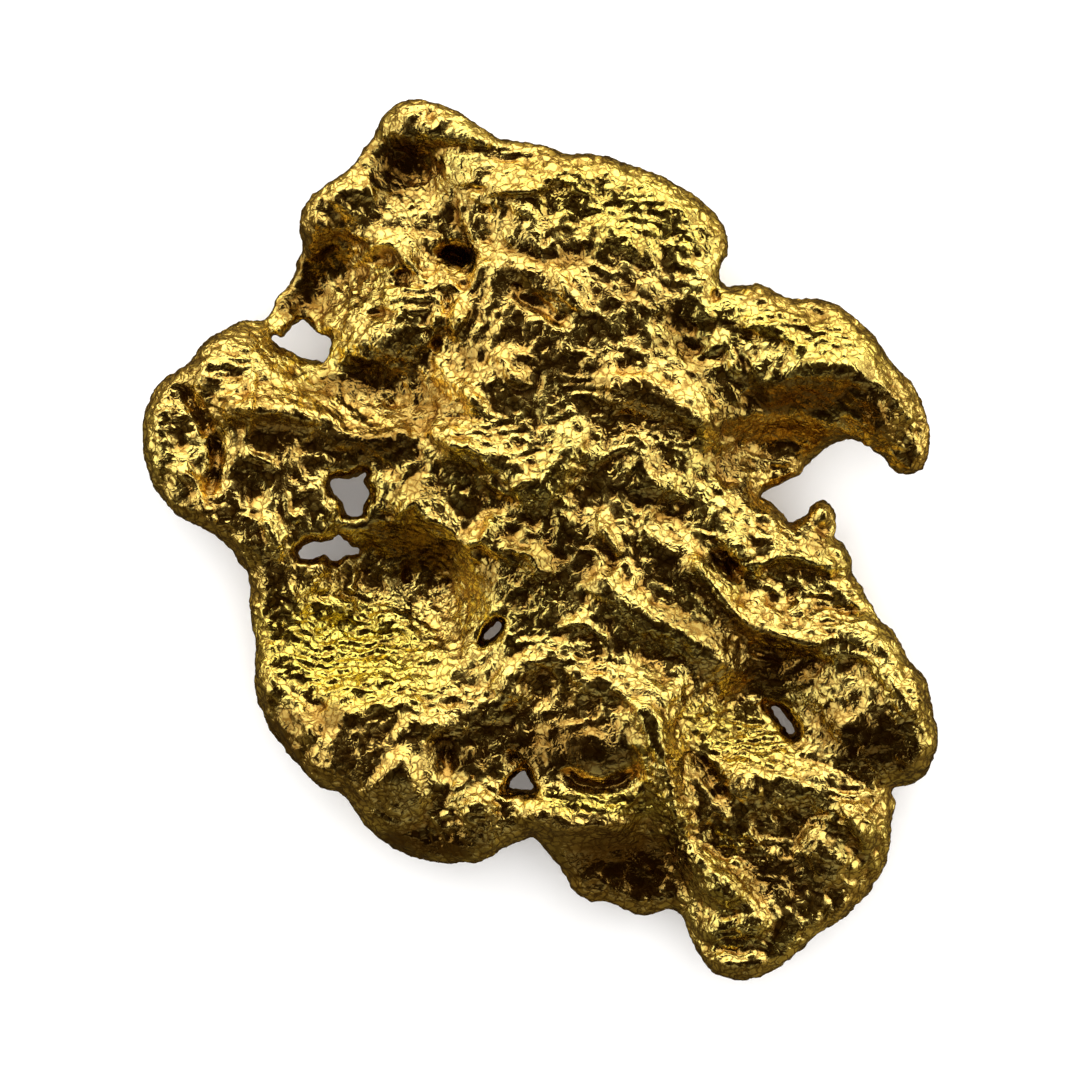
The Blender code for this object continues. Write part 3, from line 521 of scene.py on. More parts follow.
PLATEAU_RIDGES = (
    (9, 0.14, ((596, 396), (640, 398), (668, 404), (694, 414), (714, 430))),
    (6, 0.12, ((722, 330), (728, 350), (736, 372))),
    (5, 0.1, ((495, 188), (510, 190), (530, 190), (540, 186), (555, 180), (565, 180), (575, 185),
              (585, 190), (597, 195))),
    (4, 0.08, ((510, 205), (525, 210), (540, 215))),
    (5, 0.09, ((575, 206), (590, 206), (605, 203))),
    (2.5, 0.04, ((611, 179), (612, 186), (613, 192))),
    (4, 0.08, ((670, 257), (685, 264), (695, 268))),
    (4.5, 0.11, ((553, 262), (560, 276), (568, 290), (578, 303), (590, 310))),
    (4, 0.07, ((584, 262), (598, 265), (612, 273))),
    (8, -0.14, ((512, 290), (530, 300), (550, 309), (574, 324))),
    (5, 0.1, ((480, 259), (495, 264), (506, 270))),
    (3, 0.06, ((515, 268), (522, 269), (530, 270))),
    (7, -0.08, ((600, 242), (620, 252), (640, 262), (658, 268))),
    (6, -0.07, ((690, 246), (702, 252), (712, 250))),
    (4, 0.08, ((695, 359), (703, 351), (715, 347), (722, 351))),
    (3, 0.05, ((560, 386), (580, 384), (610, 386), (636, 392))),
    (3, 0.05, ((570, 393), (590, 393), (612, 397), (634, 402))),
    (3, 0.05, ((570, 378), (600, 376), (640, 375), (660, 385))),
    (5, 0.1, ((495, 345), (505, 360), (515, 377), (532, 380))),
    (3, 0.05, ((520, 350), (532, 356), (545, 352))),
    (3, 0.06, ((560, 345), (572, 352), (585, 350))),
    (3, 0.05, ((630, 345), (640, 352), (655, 352))),
    (3, 0.05, ((640, 300), (650, 308), (662, 306))),
    (3, 0.05, ((610, 280), (622, 288), (632, 286))),
    (3, 0.05, ((575, 236), (586, 242), (598, 240))),
    (3, 0.05, ((505, 232), (512, 242), (520, 248))),
    (3, 0.05, ((676, 206), (686, 214), (692, 224))),
    (3, 0.04, ((668, 330), (680, 336), (692, 334))),
    (3, 0.05, ((585, 420), (600, 414), (615, 418))),
    (3, 0.05, ((545, 420), (560, 414), (575, 410))),
)
PLATEAU_LUMPS = (
    ((560, 189), (12, 5), 0, -0.14), ((544, 196), (4, 6), 0, -0.09), ((577, 168), (4, 5), 0, -0.07),
    ((597, 173), (5, 4), 0, -0.07), ((668, 249), (6, 8), 0, 0.09), ((683, 249), (6, 4), 0, 0.07),
    ((575, 258), (4, 3), 0, 0.05), ((518, 290), (6, 9), 0, -0.14), ((545, 243), (4, 6), 0, -0.08),
    ((620, 246), (5, 4), 0, -0.05), ((615, 300), (5, 5), 0, 0.05), ((690, 330), (6, 6), 0, -0.08),
    ((700, 352), (13, 8), 0, -0.05), ((590, 365), (7, 5), 0, 0.06), ((620, 370), (7, 5), 0, -0.06),
    ((650, 366), (6, 5), 0, 0.05), ((520, 390), (14, 8), 0, -0.1), ((484, 362), (6, 6), 0, -0.07),
    ((660, 345), (6, 5), 0, -0.06), ((630, 315), (5, 4), 0, 0.05),
)
SOUTH_WEST_RIDGES = (
    (4, 0.08, ((282, 600), (290, 607), (297, 613), (308, 620))),
    (3, 0.06, ((262, 600), (265, 612), (270, 620), (274, 628))),
    (3, 0.06, ((262, 652), (266, 645), (274, 645), (278, 652), (274, 659), (266, 659), (262, 653))),
    (4, -0.08, ((316, 594), (332, 589), (348, 591), (358, 600), (366, 613))),
    (6, -0.15, ((325, 617), (340, 616), (352, 624), (360, 634))),
    (4, -0.07, ((372, 632), (386, 629), (400, 632), (412, 640))),
    (2.5, 0.05, ((370, 616), (390, 612), (410, 614), (425, 624), (437, 637), (447, 650), (453, 665),
                 (452, 680))),
    (2.5, 0.05, ((456, 650), (458, 662), (456, 675))),
    (3, 0.05, ((325, 655), (330, 653), (335, 652))),
    (5, 0.12, ((290, 692), (300, 700), (303, 712), (310, 720), (313, 728), (320, 735))),
    (8, -0.04, ((450, 722), (447, 745), (451, 780))),
    (2.5, 0.04, ((475, 775), (490, 765), (500, 755))),
    (4, 0.1, ((430, 808), (438, 815), (445, 822), (453, 824))),
    (4, 0.1, ((440, 812), (450, 808), (458, 805))),
    (2.5, 0.04, ((530, 706), (545, 707), (560, 706))),
    (3, 0.05, ((325, 640), (334, 644), (342, 642))),
    (3, 0.05, ((352, 648), (360, 656), (366, 666))),
    (3, 0.05, ((318, 672), (330, 676), (342, 674))),
    (3, 0.05, ((372, 664), (382, 668), (392, 664))),
    (2.5, 0.04, ((268, 632), (272, 640), (276, 644))),
    (3, 0.05, ((340, 768), (352, 776), (362, 780))),
    (3, 0.06, ((366, 800), (378, 810), (392, 816))),
)
SOUTH_WEST_LUMPS = (
    ((287, 590), (5, 5), 0, 0.06), ((378, 648), (3.5, 9), 0, 0.06), ((393, 654), (4, 4), 0, 0.05),
    ((410, 637), (4, 4), 0, 0.05), ((358, 698), (7, 4), 0, -0.1), ((382, 690), (4, 3), 0, -0.08),
    ((402, 690), (5, 3), 0, -0.08), ((405, 775), (22, 18), 0, 0.05), ((456, 785), (3.5, 3.5), 0, 0.05),
    ((470, 750), (4, 6), 0, 0.07), ((514, 757), (6, 8), 0, -0.2), ((453, 824), (5, 4), 0, 0.07),
    ((449, 802), (4, 4), 0, 0.06), ((465, 815), (5, 5), 0, 0.08), ((497, 840), (5, 4), 0, 0.07),
    ((318, 704), (12, 6), 10, -0.1), ((347, 664), (5, 4), 0, 0.05),
)
SOUTH_RIDGES = (
    (2.5, 0.05, ((525, 656), (540, 658), (560, 661))),
    (2.5, 0.05, ((575, 630), (590, 628), (602, 633), (606, 641))),
    (4, 0.09, ((605, 625), (608, 640), (611, 650), (607, 658))),
    (2.5, 0.05, ((645, 637), (650, 648), (657, 660))),
    (4, 0.1, ((612, 680), (625, 690), (635, 698), (645, 705), (655, 708), (662, 715))),
    (1.7, 0.035, ((545, 733), (560, 724), (580, 720), (600, 716), (620, 712), (640, 707))),
    (3, 0.06, ((585, 728), (600, 733), (610, 742), (615, 748))),
    (2.5, 0.05, ((620, 728), (623, 736), (625, 744))),
    (2.5, 0.04, ((632, 735), (640, 744), (645, 754))),
    (4, 0.08, ((560, 786), (575, 788), (590, 791))),
    (3, 0.06, ((640, 760), (660, 765), (680, 771))),
    (3, 0.06, ((690, 738), (700, 748), (712, 755), (720, 760))),
    (2, 0.04, ((700, 800), (712, 808), (706, 816))),
    (3, 0.07, ((617, 808), (625, 800), (637, 792), (640, 780))),
    (4, 0.08, ((640, 826), (653, 828), (665, 829))),
    (4, 0.08, ((560, 824), (580, 821), (600, 819), (618, 823))),
    (4, 0.1, ((640, 862), (650, 867), (657, 873))),
    (3, 0.06, ((585, 878), (595, 873), (606, 876))),
    (4, 0.08, ((635, 893), (643, 897), (650, 894))),
    (2.5, -0.05, ((700, 872), (708, 877), (716, 881))),
    (5, 0.1, ((700, 880), (710, 884), (720, 889))),
    (3, 0.05, ((655, 858), (668, 864), (680, 874))),
    (3, 0.05, ((550, 666), (560, 672), (568, 682))),
    (3, 0.05, ((600, 692), (612, 696), (622, 694))),
)
SOUTH_LUMPS = (
    ((560, 637), (6, 4), -30, -0.1), ((590, 637), (14, 11), 0, -0.12), ((588, 634), (4, 4), 0, 0.06),
    ((596, 642), (4, 4), 0, 0.06), ((584, 644), (4, 3.5), 0, 0.06), ((647, 655), (18, 13), 20, -0.14),
    ((603, 707), (5, 5), 0, 0.07), ((550, 736), (4, 4), 0, 0.06), ((662, 832), (5, 5), 0, 0.07),
    ((605, 845), (3.5, 6), 0, 0.06), ((617, 855), (8, 4), 0, 0.06), ((618, 890), (5, 7), 0, 0.09),
    ((626, 893), (4, 4), 0, 0.06), ((665, 890), (4, 6), 0, 0.08), ((661, 901), (4, 7), -40, 0.09),
    ((712, 902), (14, 7), 0, -0.12), ((640, 850), (12, 8), 0, -0.06), ((580, 890), (6, 5), 0, 0.05),
)
SLAB_RIDGES = (
    (9, 0.16, ((650, 700), (662, 730), (670, 765), (676, 800), (686, 835), (702, 865), (722, 885))),
    (7, 0.12, ((700, 838), (716, 858), (736, 874), (750, 890))),
    (8, 0.12, ((838, 800), (858, 822), (870, 850))),
    (4, 0.08, ((835, 795), (855, 820), (870, 850), (875, 862))),
    (3, 0.06, ((777, 842), (786, 838), (795, 845), (795, 856), (786, 861), (778, 854), (777, 843))),
    (3, 0.06, ((700, 880), (710, 888), (720, 895))),
    (4, 0.08, ((705, 918), (715, 930), (725, 938))),
    (6, -0.1, ((700, 940), (730, 944), (760, 947), (776, 944))),
    (2.5, -0.05, ((740, 747), (765, 762), (790, 772))),
    (2.5, -0.05, ((800, 753), (820, 758), (840, 766), (860, 776), (875, 790))),
    (2.5, 0.04, ((802, 778), (812, 783), (822, 786))),
    (2.5, 0.04, ((760, 790), (775, 800), (790, 812))),
    (2.5, 0.04, ((745, 800), (762, 812), (778, 826))),
    (2.5, 0.04, ((770, 785), (788, 796), (804, 808))),
    (3, 0.05, ((740, 820), (752, 832), (764, 846))),
    (3, 0.05, ((722, 822), (734, 836), (744, 850))),
    (3, 0.05, ((708, 812), (720, 826), (730, 842))),
    (3, 0.05, ((838, 872), (850, 880), (862, 884))),
    (3, 0.05, ((716, 800), (726, 812), (738, 818))),
)
SLAB_LUMPS = (
    ((786, 849), (6, 7), 0, -0.06), ((755, 838), (5, 4), 0, 0.05), ((748, 830), (4, 4), 0, 0.04),
    ((705, 835), (4, 6), 0, 0.05), ((712, 828), (4, 4), 0, -0.05), ((714, 842), (4, 4), 0, 0.05),
    ((758, 782), (24, 9), 15, -0.08), ((820, 835), (12, 9), 30, 0.06), ((745, 786), (5, 5), 0, 0.05),
    ((774, 812), (6, 5), 30, -0.05), ((740, 855), (7, 5), 30, -0.06), ((798, 888), (8, 5), 0, -0.05),
    ((730, 915), (10, 5), 0, -0.06), ((842, 902), (6, 5), 0, 0.05),
)
RIDGES = (
    *NORTH_WEST_RIDGES,
    *WEST_BAND_RIDGES,
    *WEST_LOBE_RIDGES,
    *SADDLE_RIDGES,
    *CENTRE_RIDGES,
    *CLAW_RIDGES,
    *EAST_RIDGES,
    *PLATEAU_RIDGES,
    *SOUTH_WEST_RIDGES,
    *SOUTH_RIDGES,
    *SLAB_RIDGES,
)
LUMPS = (
    *NORTH_WEST_LUMPS,
    *WEST_BAND_LUMPS,
    *WEST_LOBE_LUMPS,
    *SADDLE_LUMPS,
    *CENTRE_LUMPS,
    *CLAW_LUMPS,
    *EAST_LUMPS,
    *PLATEAU_LUMPS,
    *SOUTH_WEST_LUMPS,
    *SOUTH_LUMPS,
    *SLAB_LUMPS,
)


def through(points, per_span=5):
    """A smooth line through the points (Catmull-Rom)."""
    points = np.array(points, float)
    points = np.vstack((2 * points[0] - points[1], points, 2 * points[-1] - points[-2]))
    before, start, end, after = (points[k:len(points) - 3 + k, None, :] for k in range(4))
    share = (np.arange(per_span) / per_span)[None, :, None]
    line = 0.5 * (
        2 * start
        + (end - before) * share
        + (2 * before - 5 * start + 4 * end - after) * share**2
        + (3 * start - before - 3 * end + after) * share**3
    )
    return np.vstack((line.reshape(-1, 2), points[-2:-1]))


def gently(share):
    """0 to 1 with level ends."""
    share = np.clip(share, 0, 1)
    return share * share * (3 - 2 * share)


def turned(places, degrees):
    """How far along, and how far across, a direction at this angle the places lie."""
    cosine = math.cos(math.radians(degrees))
    sine = math.sin(math.radians(degrees))
    along = places[:, 0] * cosine + places[:, 1] * sine
    across = places[:, 1] * cosine - places[:, 0] * sine
    return along, across


def plan_of(points):
    """The plan places, in steps, of points in millimetres."""
    return points[:, :2] / (STEP, -STEP) + PLAN_MIDDLE


def box_places(plan, low, high):
    """Which plan places lie in the box."""
    return np.flatnonzero(((plan > low) & (plan < high)).all(axis=1))


def ridge_rise(plan, half_width, height, path):
    """The places that a ridge (or, with a negative height, a groove) moves, and how far up."""
    line = through(np.array(path, float) + RIDGE_SHIFT + (0, SUNNY_SIDE * half_width))
    reach = RIDGE_REACH * half_width
    reached = box_places(plan, line.min(axis=0) - reach, line.max(axis=0) + reach)
    places = plan[reached]
    gap = np.full(len(places), np.inf)
    along = np.zeros(len(places))
    spans = np.diff(line, axis=0)
    lengths = np.hypot(*spans.T)
    starts = np.concatenate(((0,), np.cumsum(lengths)))
    for corner, span, length, start in zip(line, spans, lengths, starts):
        offset = places - corner
        share = np.clip(offset @ span / max(length, 1e-6) ** 2, 0, 1)
        distance = np.hypot(*(offset - share[:, None] * span).T)
        nearer = distance < gap
        gap[nearer] = distance[nearer]
        along[nearer] = (start + share * length)[nearer]
    taper = min(RIDGE_TAPER * starts[-1], 2 * half_width)
    fullness = gently(np.minimum(along, starts[-1] - along) / taper)
    bell = height * np.exp(-((gap / half_width) ** 2))
    return reached, bell * (RIDGE_TIP + (1 - RIDGE_TIP) * fullness)


def lump_rise(plan, middle, radii, turn, height, flatness=2):
    """The places that a lump (or, with a negative height, a pit) moves, and how far up."""
    reach = LUMP_REACH * max(radii)
    reached = box_places(plan, np.array(middle) - reach, np.array(middle) + reach)
    along, across = turned(plan[reached] - middle, turn)
    return reached, height * np.exp(-np.hypot(along / radii[0], across / radii[1]) ** flatness)


def relief(plan):
    """How far the fine relief lifts each plan place, in millimetres."""
    rise = np.zeros(len(plan))
    for rows, shape in ((RIDGES, ridge_rise), (LUMPS, lump_rise)):
        for row in rows:
            reached, lift = shape(plan, *row)
            rise[reached] += lift
    return rise


def points_of(mesh):
    points = np.empty(len(mesh.vertices) * 3, np.float32)
    mesh.vertices.foreach_get("co", points)
    return points.reshape(-1, 3).astype(float)


def normals_of(mesh):
    normals = np.empty(len(mesh.vertices) * 3, np.float32)
    mesh.vertex_normals.foreach_get("vector", normals)
    return normals.reshape(-1, 3).astype(float)


def move_points(mesh, points):
    mesh.vertices.foreach_set("co", points.astype(np.float32).ravel())
    mesh.update()


def modify(thing, kind, **settings):
    """Replaces the mesh by what one modifier makes of it."""
    modifier = thing.modifiers.new(kind, kind)
    for key, value in settings.items():
        setattr(modifier, key, value)
    graph = bpy.context.evaluated_depsgraph_get()
    thing.data = bpy.data.meshes.new_from_object(thing.evaluated_get(graph))
    thing.modifiers.clear()


def neighbours_mean(mesh, values, rounds):
    """Each point's values, blurred with those of its neighbours along the edges."""
    ends = np.empty(len(mesh.edges) * 2, np.int32)
    mesh.edges.foreach_get("vertices", ends)
    one, other = ends.reshape(-1, 2).T
    count = np.bincount(one, minlength=len(values)) + np.bincount(other, minlength=len(values))
    for _ in range(rounds):
        total = np.zeros_like(values)
        for column in range(values.shape[1]):
            total[:, column] += np.bincount(one, values[other, column], len(values))
            total[:, column] += np.bincount(other, values[one, column], len(values))
        values = total / count[:, None]
    return values


def noise_at(points, size):
    """Layered noise at each point, about -1 to 1, with grains of this size in millimetres."""
    return np.array([noise.fractal(place, *NOISE_LAYERS) for place in (points / size).tolist()])


def beads_at(points, size):
    """Round grains packed together, 0 between them and 1 on top."""
    nearest = [noise.voronoi(place)[0][0] for place in (points / size).tolist()]
    return np.clip(1 - np.array(nearest) ** 2 / BEAD_EDGE, 0, 1)


def patches_at(plan, patches):
    """0 outside all of the patches, up to a patch's own amount in its middle."""
    share = np.zeros(len(plan))
    for middle, radii, turn, amount in patches:
        reached, rise = lump_rise(plan, middle, radii, turn, amount, PATCH_FLATNESS)
        share[reached] = np.maximum(share[reached], rise)
    return share


def terraces_at(points):
    """Small uneven steps, 0 to 1, that rise slowly and drop fast on the way to -Y."""
    sway = TERRACE_SWAY * noise_at(points, TERRACE_SWAY_SIZE)
    share = np.mod((sway - points[:, 1]) / TERRACE, 1)
    return np.where(share < TERRACE_CREST, share / TERRACE_CREST, (1 - share) / (1 - TERRACE_CREST))


def streaked(points):
    """The points, squeezed along the way that the nugget was dragged out."""
    along, across = turned(points, STREAK_ANGLE)
    return np.c_[along / STREAK_STRETCH, across, points[:, 2]]


def roughness_at(points, plan, facing_up):
    """How far out each point stands for the grain of the metal, in millimetres."""
    beaded = patches_at(plan, BEADED) * facing_up
    streaky = patches_at(plan, STREAKED) * facing_up
    terraced = patches_at(plan, TERRACED) * facing_up
    polished = patches_at(plan, POLISHED)
    plain = 1 - CALMED * np.maximum(beaded, polished)
    streaks = STREAKS_ELSEWHERE + (1 - STREAKS_ELSEWHERE) * streaky
    rise = COARSE_GRAIN[1] * noise_at(points, COARSE_GRAIN[0]) * plain
    rise += FINE_GRAIN[1] * noise_at(points + FINE_GRAIN_SHIFT, FINE_GRAIN[0]) * plain
    rise += BEADS[1] * (beads_at(points, BEADS[0]) - 0.5) * beaded
    rise += STREAKS[1] * noise_at(streaked(points), STREAKS[0]) * streaks * plain
    rise += TERRACE_RISE * (terraces_at(points) - 0.5) * terraced
    return rise


def thin_out(nugget):
    """Leaves TRIANGLES of the mesh, which is about half as dense underneath as on top."""
    mesh = nugget.data
    mesh.calc_loop_triangles()
    count = len(mesh.loop_triangles)
    if count <= TRIANGLES:
        return
    under = normals_of(mesh)[:, 2] < UNDERNEATH
    yielding = nugget.vertex_groups.new(name="yielding")
    yielding.add(np.flatnonzero(under).tolist(), 1.0, "REPLACE")
    yielding.add(np.flatnonzero(~under).tolist(), UPPER_YIELD, "REPLACE")
    modify(
        nugget,
        "DECIMATE",
        ratio=TRIANGLES / count,
        vertex_group="yielding",
        vertex_group_factor=YIELD_WEIGHT,
        use_collapse_triangulate=True,
    )
    nugget.vertex_groups.clear()


def keep(mesh, name, values):
    made = mesh.attributes.new(name, "FLOAT", "POINT")
    made.data.foreach_set("value", values.astype(np.float32))


def note_hollows(mesh):
    """Keeps, as attributes, how deep each point lies in a hollow, nearby and more broadly, for the
    painted shade and brown stain of hollows.
    """
    points = points_of(mesh)
    normals = normals_of(mesh)
    near = neighbours_mean(mesh, points, NEAR_ROUNDS)
    broad = neighbours_mean(mesh, near, BROAD_ROUNDS)
    keep(mesh, "hollow_near", ((near - points) * normals).sum(axis=1))
    keep(mesh, "hollow_broad", ((broad - points) * normals).sum(axis=1))


def note_painted_light_and_shade(mesh):
    """Keeps, as attributes, where patches of painted shade and of painted light lie on faces that look
    up.
    """
    points = points_of(mesh)
    sway = PAINTED_PATCH_SWAY * noise_at(points, PAINTED_PATCH_SWAY_SIZE)
    plan = plan_of(points) + sway[:, None]
    upper = gently(normals_of(mesh)[:, 2] - PAINTED_PATCHES_FROM)
    # Patches of painted shade and of painted light, on faces that look up
    keep(mesh, "painted_shade", patches_at(plan, PAINTED_SHADE_PATCHES) * upper)
    keep(mesh, "painted_light", patches_at(plan, PAINTED_LIGHT_PATCHES) * upper)


def shape_nugget(solid):
    """The nugget's own surface: the solid, smoothed, with its fine relief, kept to its box."""
    nugget = bpy.data.objects.new("gold_nugget", solid.data.copy())
    bpy.context.collection.objects.link(nugget)
    nugget.data.materials.clear()
    nugget.data.transform(Matrix.Scale(1 / MM, 4))
    before = points_of(nugget.data)
    low, high = before.min(axis=0), before.max(axis=0)
    modify(nugget, "REMESH", mode="VOXEL", voxel_size=VOXEL)
    modify(nugget, "SMOOTH", iterations=SMOOTH_ROUNDS)
    points = points_of(nugget.data)
    normals = normals_of(nugget.data)
    facing_up = gently((normals[:, 2] - RELIEF_FROM) / RELIEF_OVER)
    plan = plan_of(points)
    points += normals * REGAIN
    points[:, 2] += relief(plan) * facing_up
    points += normals * roughness_at(points, plan, facing_up)[:, None]
    move_points(nugget.data, np.clip(points, low, high))
    modify(nugget, "SMOOTH", iterations=1)
    thin_out(nugget)
    note_hollows(nugget.data)
    note_painted_light_and_shade(nugget.data)
    nugget.data.transform(Matrix.Scale(MM, 4))
    nugget.data.shade_smooth()
    return nugget


def linked(tree, kind, inputs=(), **settings):
    """A new node with its settings, and its inputs set or linked."""
    node = tree.nodes.new(kind)
    for key, value in settings.items():
        setattr(node, key, value)
    for key, value in dict(inputs).items():
        if isinstance(value, bpy.types.NodeSocket):
            tree.links.new(value, node.inputs[key])
        else:
            node.inputs[key].default_value = value
    return node


def math_node(tree, operation, *values, **settings):
    """What a Math node works out from the values, which are sockets or numbers."""
    node = linked(tree, "ShaderNodeMath", dict(enumerate(values)), operation=operation, **settings)
    return node.outputs["Value"]


def noise_node(tree, place, scale, detail):
    return linked(tree, "ShaderNodeTexNoise", {"Vector": place, "Scale": scale, "Detail": detail})


def ramp(tree, factor, stops):
    node = linked(tree, "ShaderNodeValToRGB", {"Fac": factor})
    elements = node.color_ramp.elements
    while len(elements) > 1:
        elements.remove(elements[-1])
    for number, (place, colour) in enumerate(stops):
        element = elements[0] if number == 0 else elements.new(place)
        element.position = place
        element.color = (*colour, 1)
    return node.outputs["Color"]


def spread(tree, value, low, high, out_low=0.0, out_high=1.0):
    """The value's range from low to high stretched to the range of the output."""
    inputs = {"Value": value, "From Min": low, "From Max": high, "To Min": out_low, "To Max": out_high}
    return linked(tree, "ShaderNodeMapRange", inputs).outputs["Result"]


def attribute(tree, name):
    return linked(tree, "ShaderNodeAttribute", attribute_name=name).outputs["Fac"]


def mixed(tree, share, first, second):
    """A colour between two, which are sockets or colours."""
    node = linked(tree, "ShaderNodeMix", data_type="RGBA")
    share_socket = next(socket for socket in node.inputs if socket.type == "VALUE")
    tree.links.new(share, share_socket)
    colours = [socket for socket in node.inputs if socket.type == "RGBA"]
    for socket, colour in zip(colours, (first, second)):
        if isinstance(colour, tuple):
            socket.default_value = (*colour, 1)
        else:
            tree.links.new(colour, socket)
    return next(socket for socket in node.outputs if socket.type == "RGBA")


def gold_colour(tree, place, edge, patchy):
    """Tinted gold: painted light in patches, painted shade with brown stain in hollows, dark patches of
    painted shade, painted shade in creases.
    """
    broad = noise_node(tree, place, *TINT_NOISE).outputs["Fac"]
    painted_light = attribute(tree, "painted_light")
    near = spread(tree, attribute(tree, "hollow_near"), *HOLLOW_NEAR)
    wide = spread(tree, attribute(tree, "hollow_broad"), *HOLLOW_BROAD)
    # Painted light in its patches, which also keeps the hollows' painted shade off them
    unlit_by_painted_light = math_node(tree, "SUBTRACT", 1.0, painted_light, use_clamp=True)
    hollow = math_node(tree, "MULTIPLY", math_node(tree, "MAXIMUM", near, wide), unlit_by_painted_light)
    with_painted_light = mixed(tree, painted_light, ramp(tree, broad, TINTS), PAINTED_LIGHT_GOLD)
    # Painted shade with a brown stain in the hollows
    with_hollow_shade_and_stain = mixed(tree, hollow, with_painted_light, HOLLOW_SHADE_AND_STAIN_GOLD)
    # Patches of dark painted shade
    with_painted_shade = mixed(tree, attribute(tree, "painted_shade"), with_hollow_shade_and_stain, PAINTED_SHADE_GOLD)
    # Painted shade in the creases between cells, fading from patch to patch
    off_crease_shade = math_node(
        tree, "MAXIMUM", spread(tree, edge, 0.0, CREASE_SHADE_WIDTH), spread(tree, patchy, *CREASE_SHADE_FADE)
    )
    return mixed(tree, off_crease_shade, CREASE_SHADE_GOLD, with_painted_shade)


def gold_material():
    material = bpy.data.materials.new("native_gold")
    material.use_nodes = True
    tree = material.node_tree
    shader = tree.nodes["Principled BSDF"]
    shader.inputs["Metallic"].default_value = 1.0
    place = linked(tree, "ShaderNodeTexCoord").outputs["Object"]
    wobble = noise_node(tree, place, *WOBBLE_NOISE)
    fine = wobble.outputs["Fac"]
    bend = {0: wobble.outputs["Color"], 1: (WOBBLE,) * 3, 2: place}
    bent = linked(tree, "ShaderNodeVectorMath", bend, operation="MULTIPLY_ADD").outputs["Vector"]
    cells = {"Vector": bent, "Scale": GRAINS_PER_M}
    edge = linked(tree, "ShaderNodeTexVoronoi", cells, feature="DISTANCE_TO_EDGE").outputs["Distance"]
    patchy = noise_node(tree, place, *PATCH_NOISE).outputs["Fac"]
    tree.links.new(gold_colour(tree, place, edge, patchy), shader.inputs["Base Color"])
    tree.links.new(spread(tree, fine, *ROUGH_OVER, *ROUGHNESS), shader.inputs["Roughness"])
    height = math_node(tree, "MULTIPLY_ADD", fine, FINE_SHARE, spread(tree, edge, 0.0, DOME))
    strength = spread(tree, patchy, *BUMP_OVER, *BUMP_STRENGTH)
    bumps = {"Height": height, "Distance": BUMP_DISTANCE, "Strength": strength}
    bump = linked(tree, "ShaderNodeBump", bumps)
    tree.links.new(bump.outputs["Normal"], shader.inputs["Normal"])
    return material


def floor_material():
    material = bpy.data.materials.new("pale_floor")
    material.use_nodes = True
    inputs = material.node_tree.nodes["Principled BSDF"].inputs
    inputs["Base Color"].default_value = FLOOR_WHITE
    inputs["Roughness"].default_value = FLOOR_ROUGHNESS
    inputs["Specular IOR Level"].default_value = 0.0
    inputs["Emission Color"].default_value = (1, 1, 1, 1)
    inputs["Emission Strength"].default_value = FLOOR_GLOW
    return material


def floor_profile():
    """The floor's rings, from inside out: radius and height."""
    turns = np.linspace(0, math.pi / 2, WALL_RINGS)
    profile = [(FLOOR_RADIUS / 2, 0.0)]
    for turn in turns:
        radius = FLOOR_RADIUS + WALL_CURVE * math.sin(turn)
        profile.append((radius, WALL_CURVE * (1 - math.cos(turn))))
    profile.append((FLOOR_RADIUS + WALL_CURVE, WALL_HEIGHT))
    return profile


def add_floor():
    """A round pale floor that curves up into a wall. The metal doesn't mirror it."""
    form = bmesh.new()
    rings = []
    for radius, level in floor_profile():
        ring = []
        for side in range(FLOOR_SIDES):
            angle = 2 * math.pi * side / FLOOR_SIDES
            ring.append(form.verts.new((radius * math.cos(angle), radius * math.sin(angle), level)))
        rings.append(ring)
    form.faces.new(rings[0])
    for inner, outer in zip(rings, rings[1:]):
        for side in range(FLOOR_SIDES):
            after = (side + 1) % FLOOR_SIDES
            form.faces.new((inner[side], outer[side], outer[after], inner[after])).smooth = True
    mesh = bpy.data.meshes.new("floor")
    form.to_mesh(mesh)
    form.free()
    mesh.materials.append(floor_material())
    floor = bpy.data.objects.new("floor", mesh)
    floor.visible_glossy = False
    bpy.context.collection.objects.link(floor)
    return floor


def add_softbox(name, compass, elevation, width, height, radiance):
    """A soft light at a distance of LIGHT_DISTANCE. Compass 0 is north (+Y), 90 east (+X)."""
    light = bpy.data.lights.new(name, "AREA")
    light.shape = "RECTANGLE"
    light.size = width
    light.size_y = height
    light.energy = radiance * math.pi * width * height
    turn = math.radians(compass)
    rise = math.radians(elevation)
    level = math.cos(rise)
    toward = Vector((math.sin(turn) * level, math.cos(turn) * level, math.sin(rise)))
    softbox = bpy.data.objects.new(name, light)
    softbox.location = toward * LIGHT_DISTANCE
    softbox.rotation_mode = "QUATERNION"
    softbox.rotation_quaternion = toward.to_track_quat("Z", "Y")
    softbox.visible_camera = False
    bpy.context.collection.objects.link(softbox)


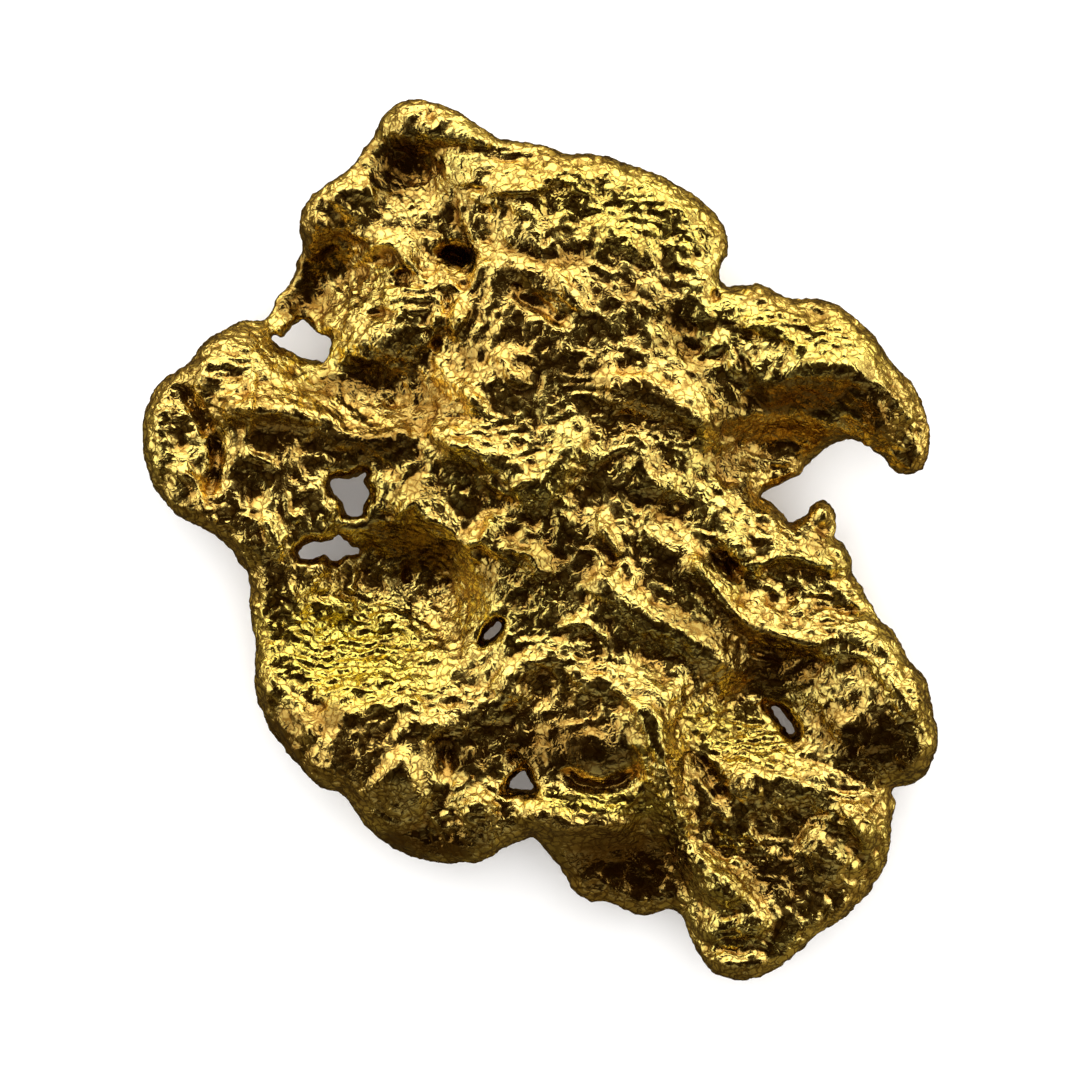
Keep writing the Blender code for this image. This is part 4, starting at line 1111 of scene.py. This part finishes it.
def light_floor(floor):
    """A wide soft light from above that falls on the floor alone."""
    light = bpy.data.lights.new("floor_light", "SUN")
    light.energy = FLOOR_LIGHT
    light.angle = math.radians(FLOOR_LIGHT_SPREAD)
    over = bpy.data.objects.new("floor_light", light)
    over.location = (0, 0, LIGHT_DISTANCE)
    bpy.context.collection.objects.link(over)
    lit = bpy.data.collections.new("lit_by_floor_light")
    lit.objects.link(floor)
    over.light_linking.receiver_collection = lit


def light_room():
    """A dim room: dark overhead, paler round the horizon, dull below, and dimmer to the south-west."""
    world = bpy.data.worlds.new("room")
    world.use_nodes = True
    tree = world.node_tree
    way = linked(tree, "ShaderNodeTexCoord").outputs["Generated"]
    level = linked(tree, "ShaderNodeSeparateXYZ", {"Vector": way}).outputs["Z"]
    shade = ramp(tree, math_node(tree, "MULTIPLY_ADD", level, 0.5, 0.5), ROOM)
    lean = linked(tree, "ShaderNodeVectorMath", {0: way, 1: ROOM_LEAN}, operation="DOT_PRODUCT")
    strength = math_node(tree, "ADD", lean.outputs["Value"], 1.0)
    background = tree.nodes["Background"]
    tree.links.new(shade, background.inputs["Color"])
    tree.links.new(strength, background.inputs["Strength"])
    bpy.context.scene.world = world


def add_camera():
    """Straight over the nugget, so that FRAME_STEPS steps of the plan fill the frame at CAMERA_LEVEL."""
    data = bpy.data.cameras.new("camera")
    data.sensor_width = SENSOR
    data.lens = LENS
    data.clip_start, data.clip_end = CAMERA_RANGE
    distance = LENS / SENSOR * FRAME_STEPS * STEP * MM
    x, y = (np.array((FRAME_STEPS / 2, FRAME_STEPS / 2)) - PLAN_MIDDLE) * (STEP, -STEP) * MM
    camera = bpy.data.objects.new("camera", data)
    camera.location = (x, y, CAMERA_LEVEL * MM + distance)
    bpy.context.collection.objects.link(camera)
    bpy.context.scene.camera = camera


nugget = shape_nugget(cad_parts["nugget"])
nugget.data.materials.append(gold_material())
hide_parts("nugget")
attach(nugget, "root")

floor = add_floor()
for row in SOFTBOXES:
    add_softbox(*row)
light_floor(floor)
light_room()
add_camera()
bpy.context.scene.view_settings.view_transform = "Standard"
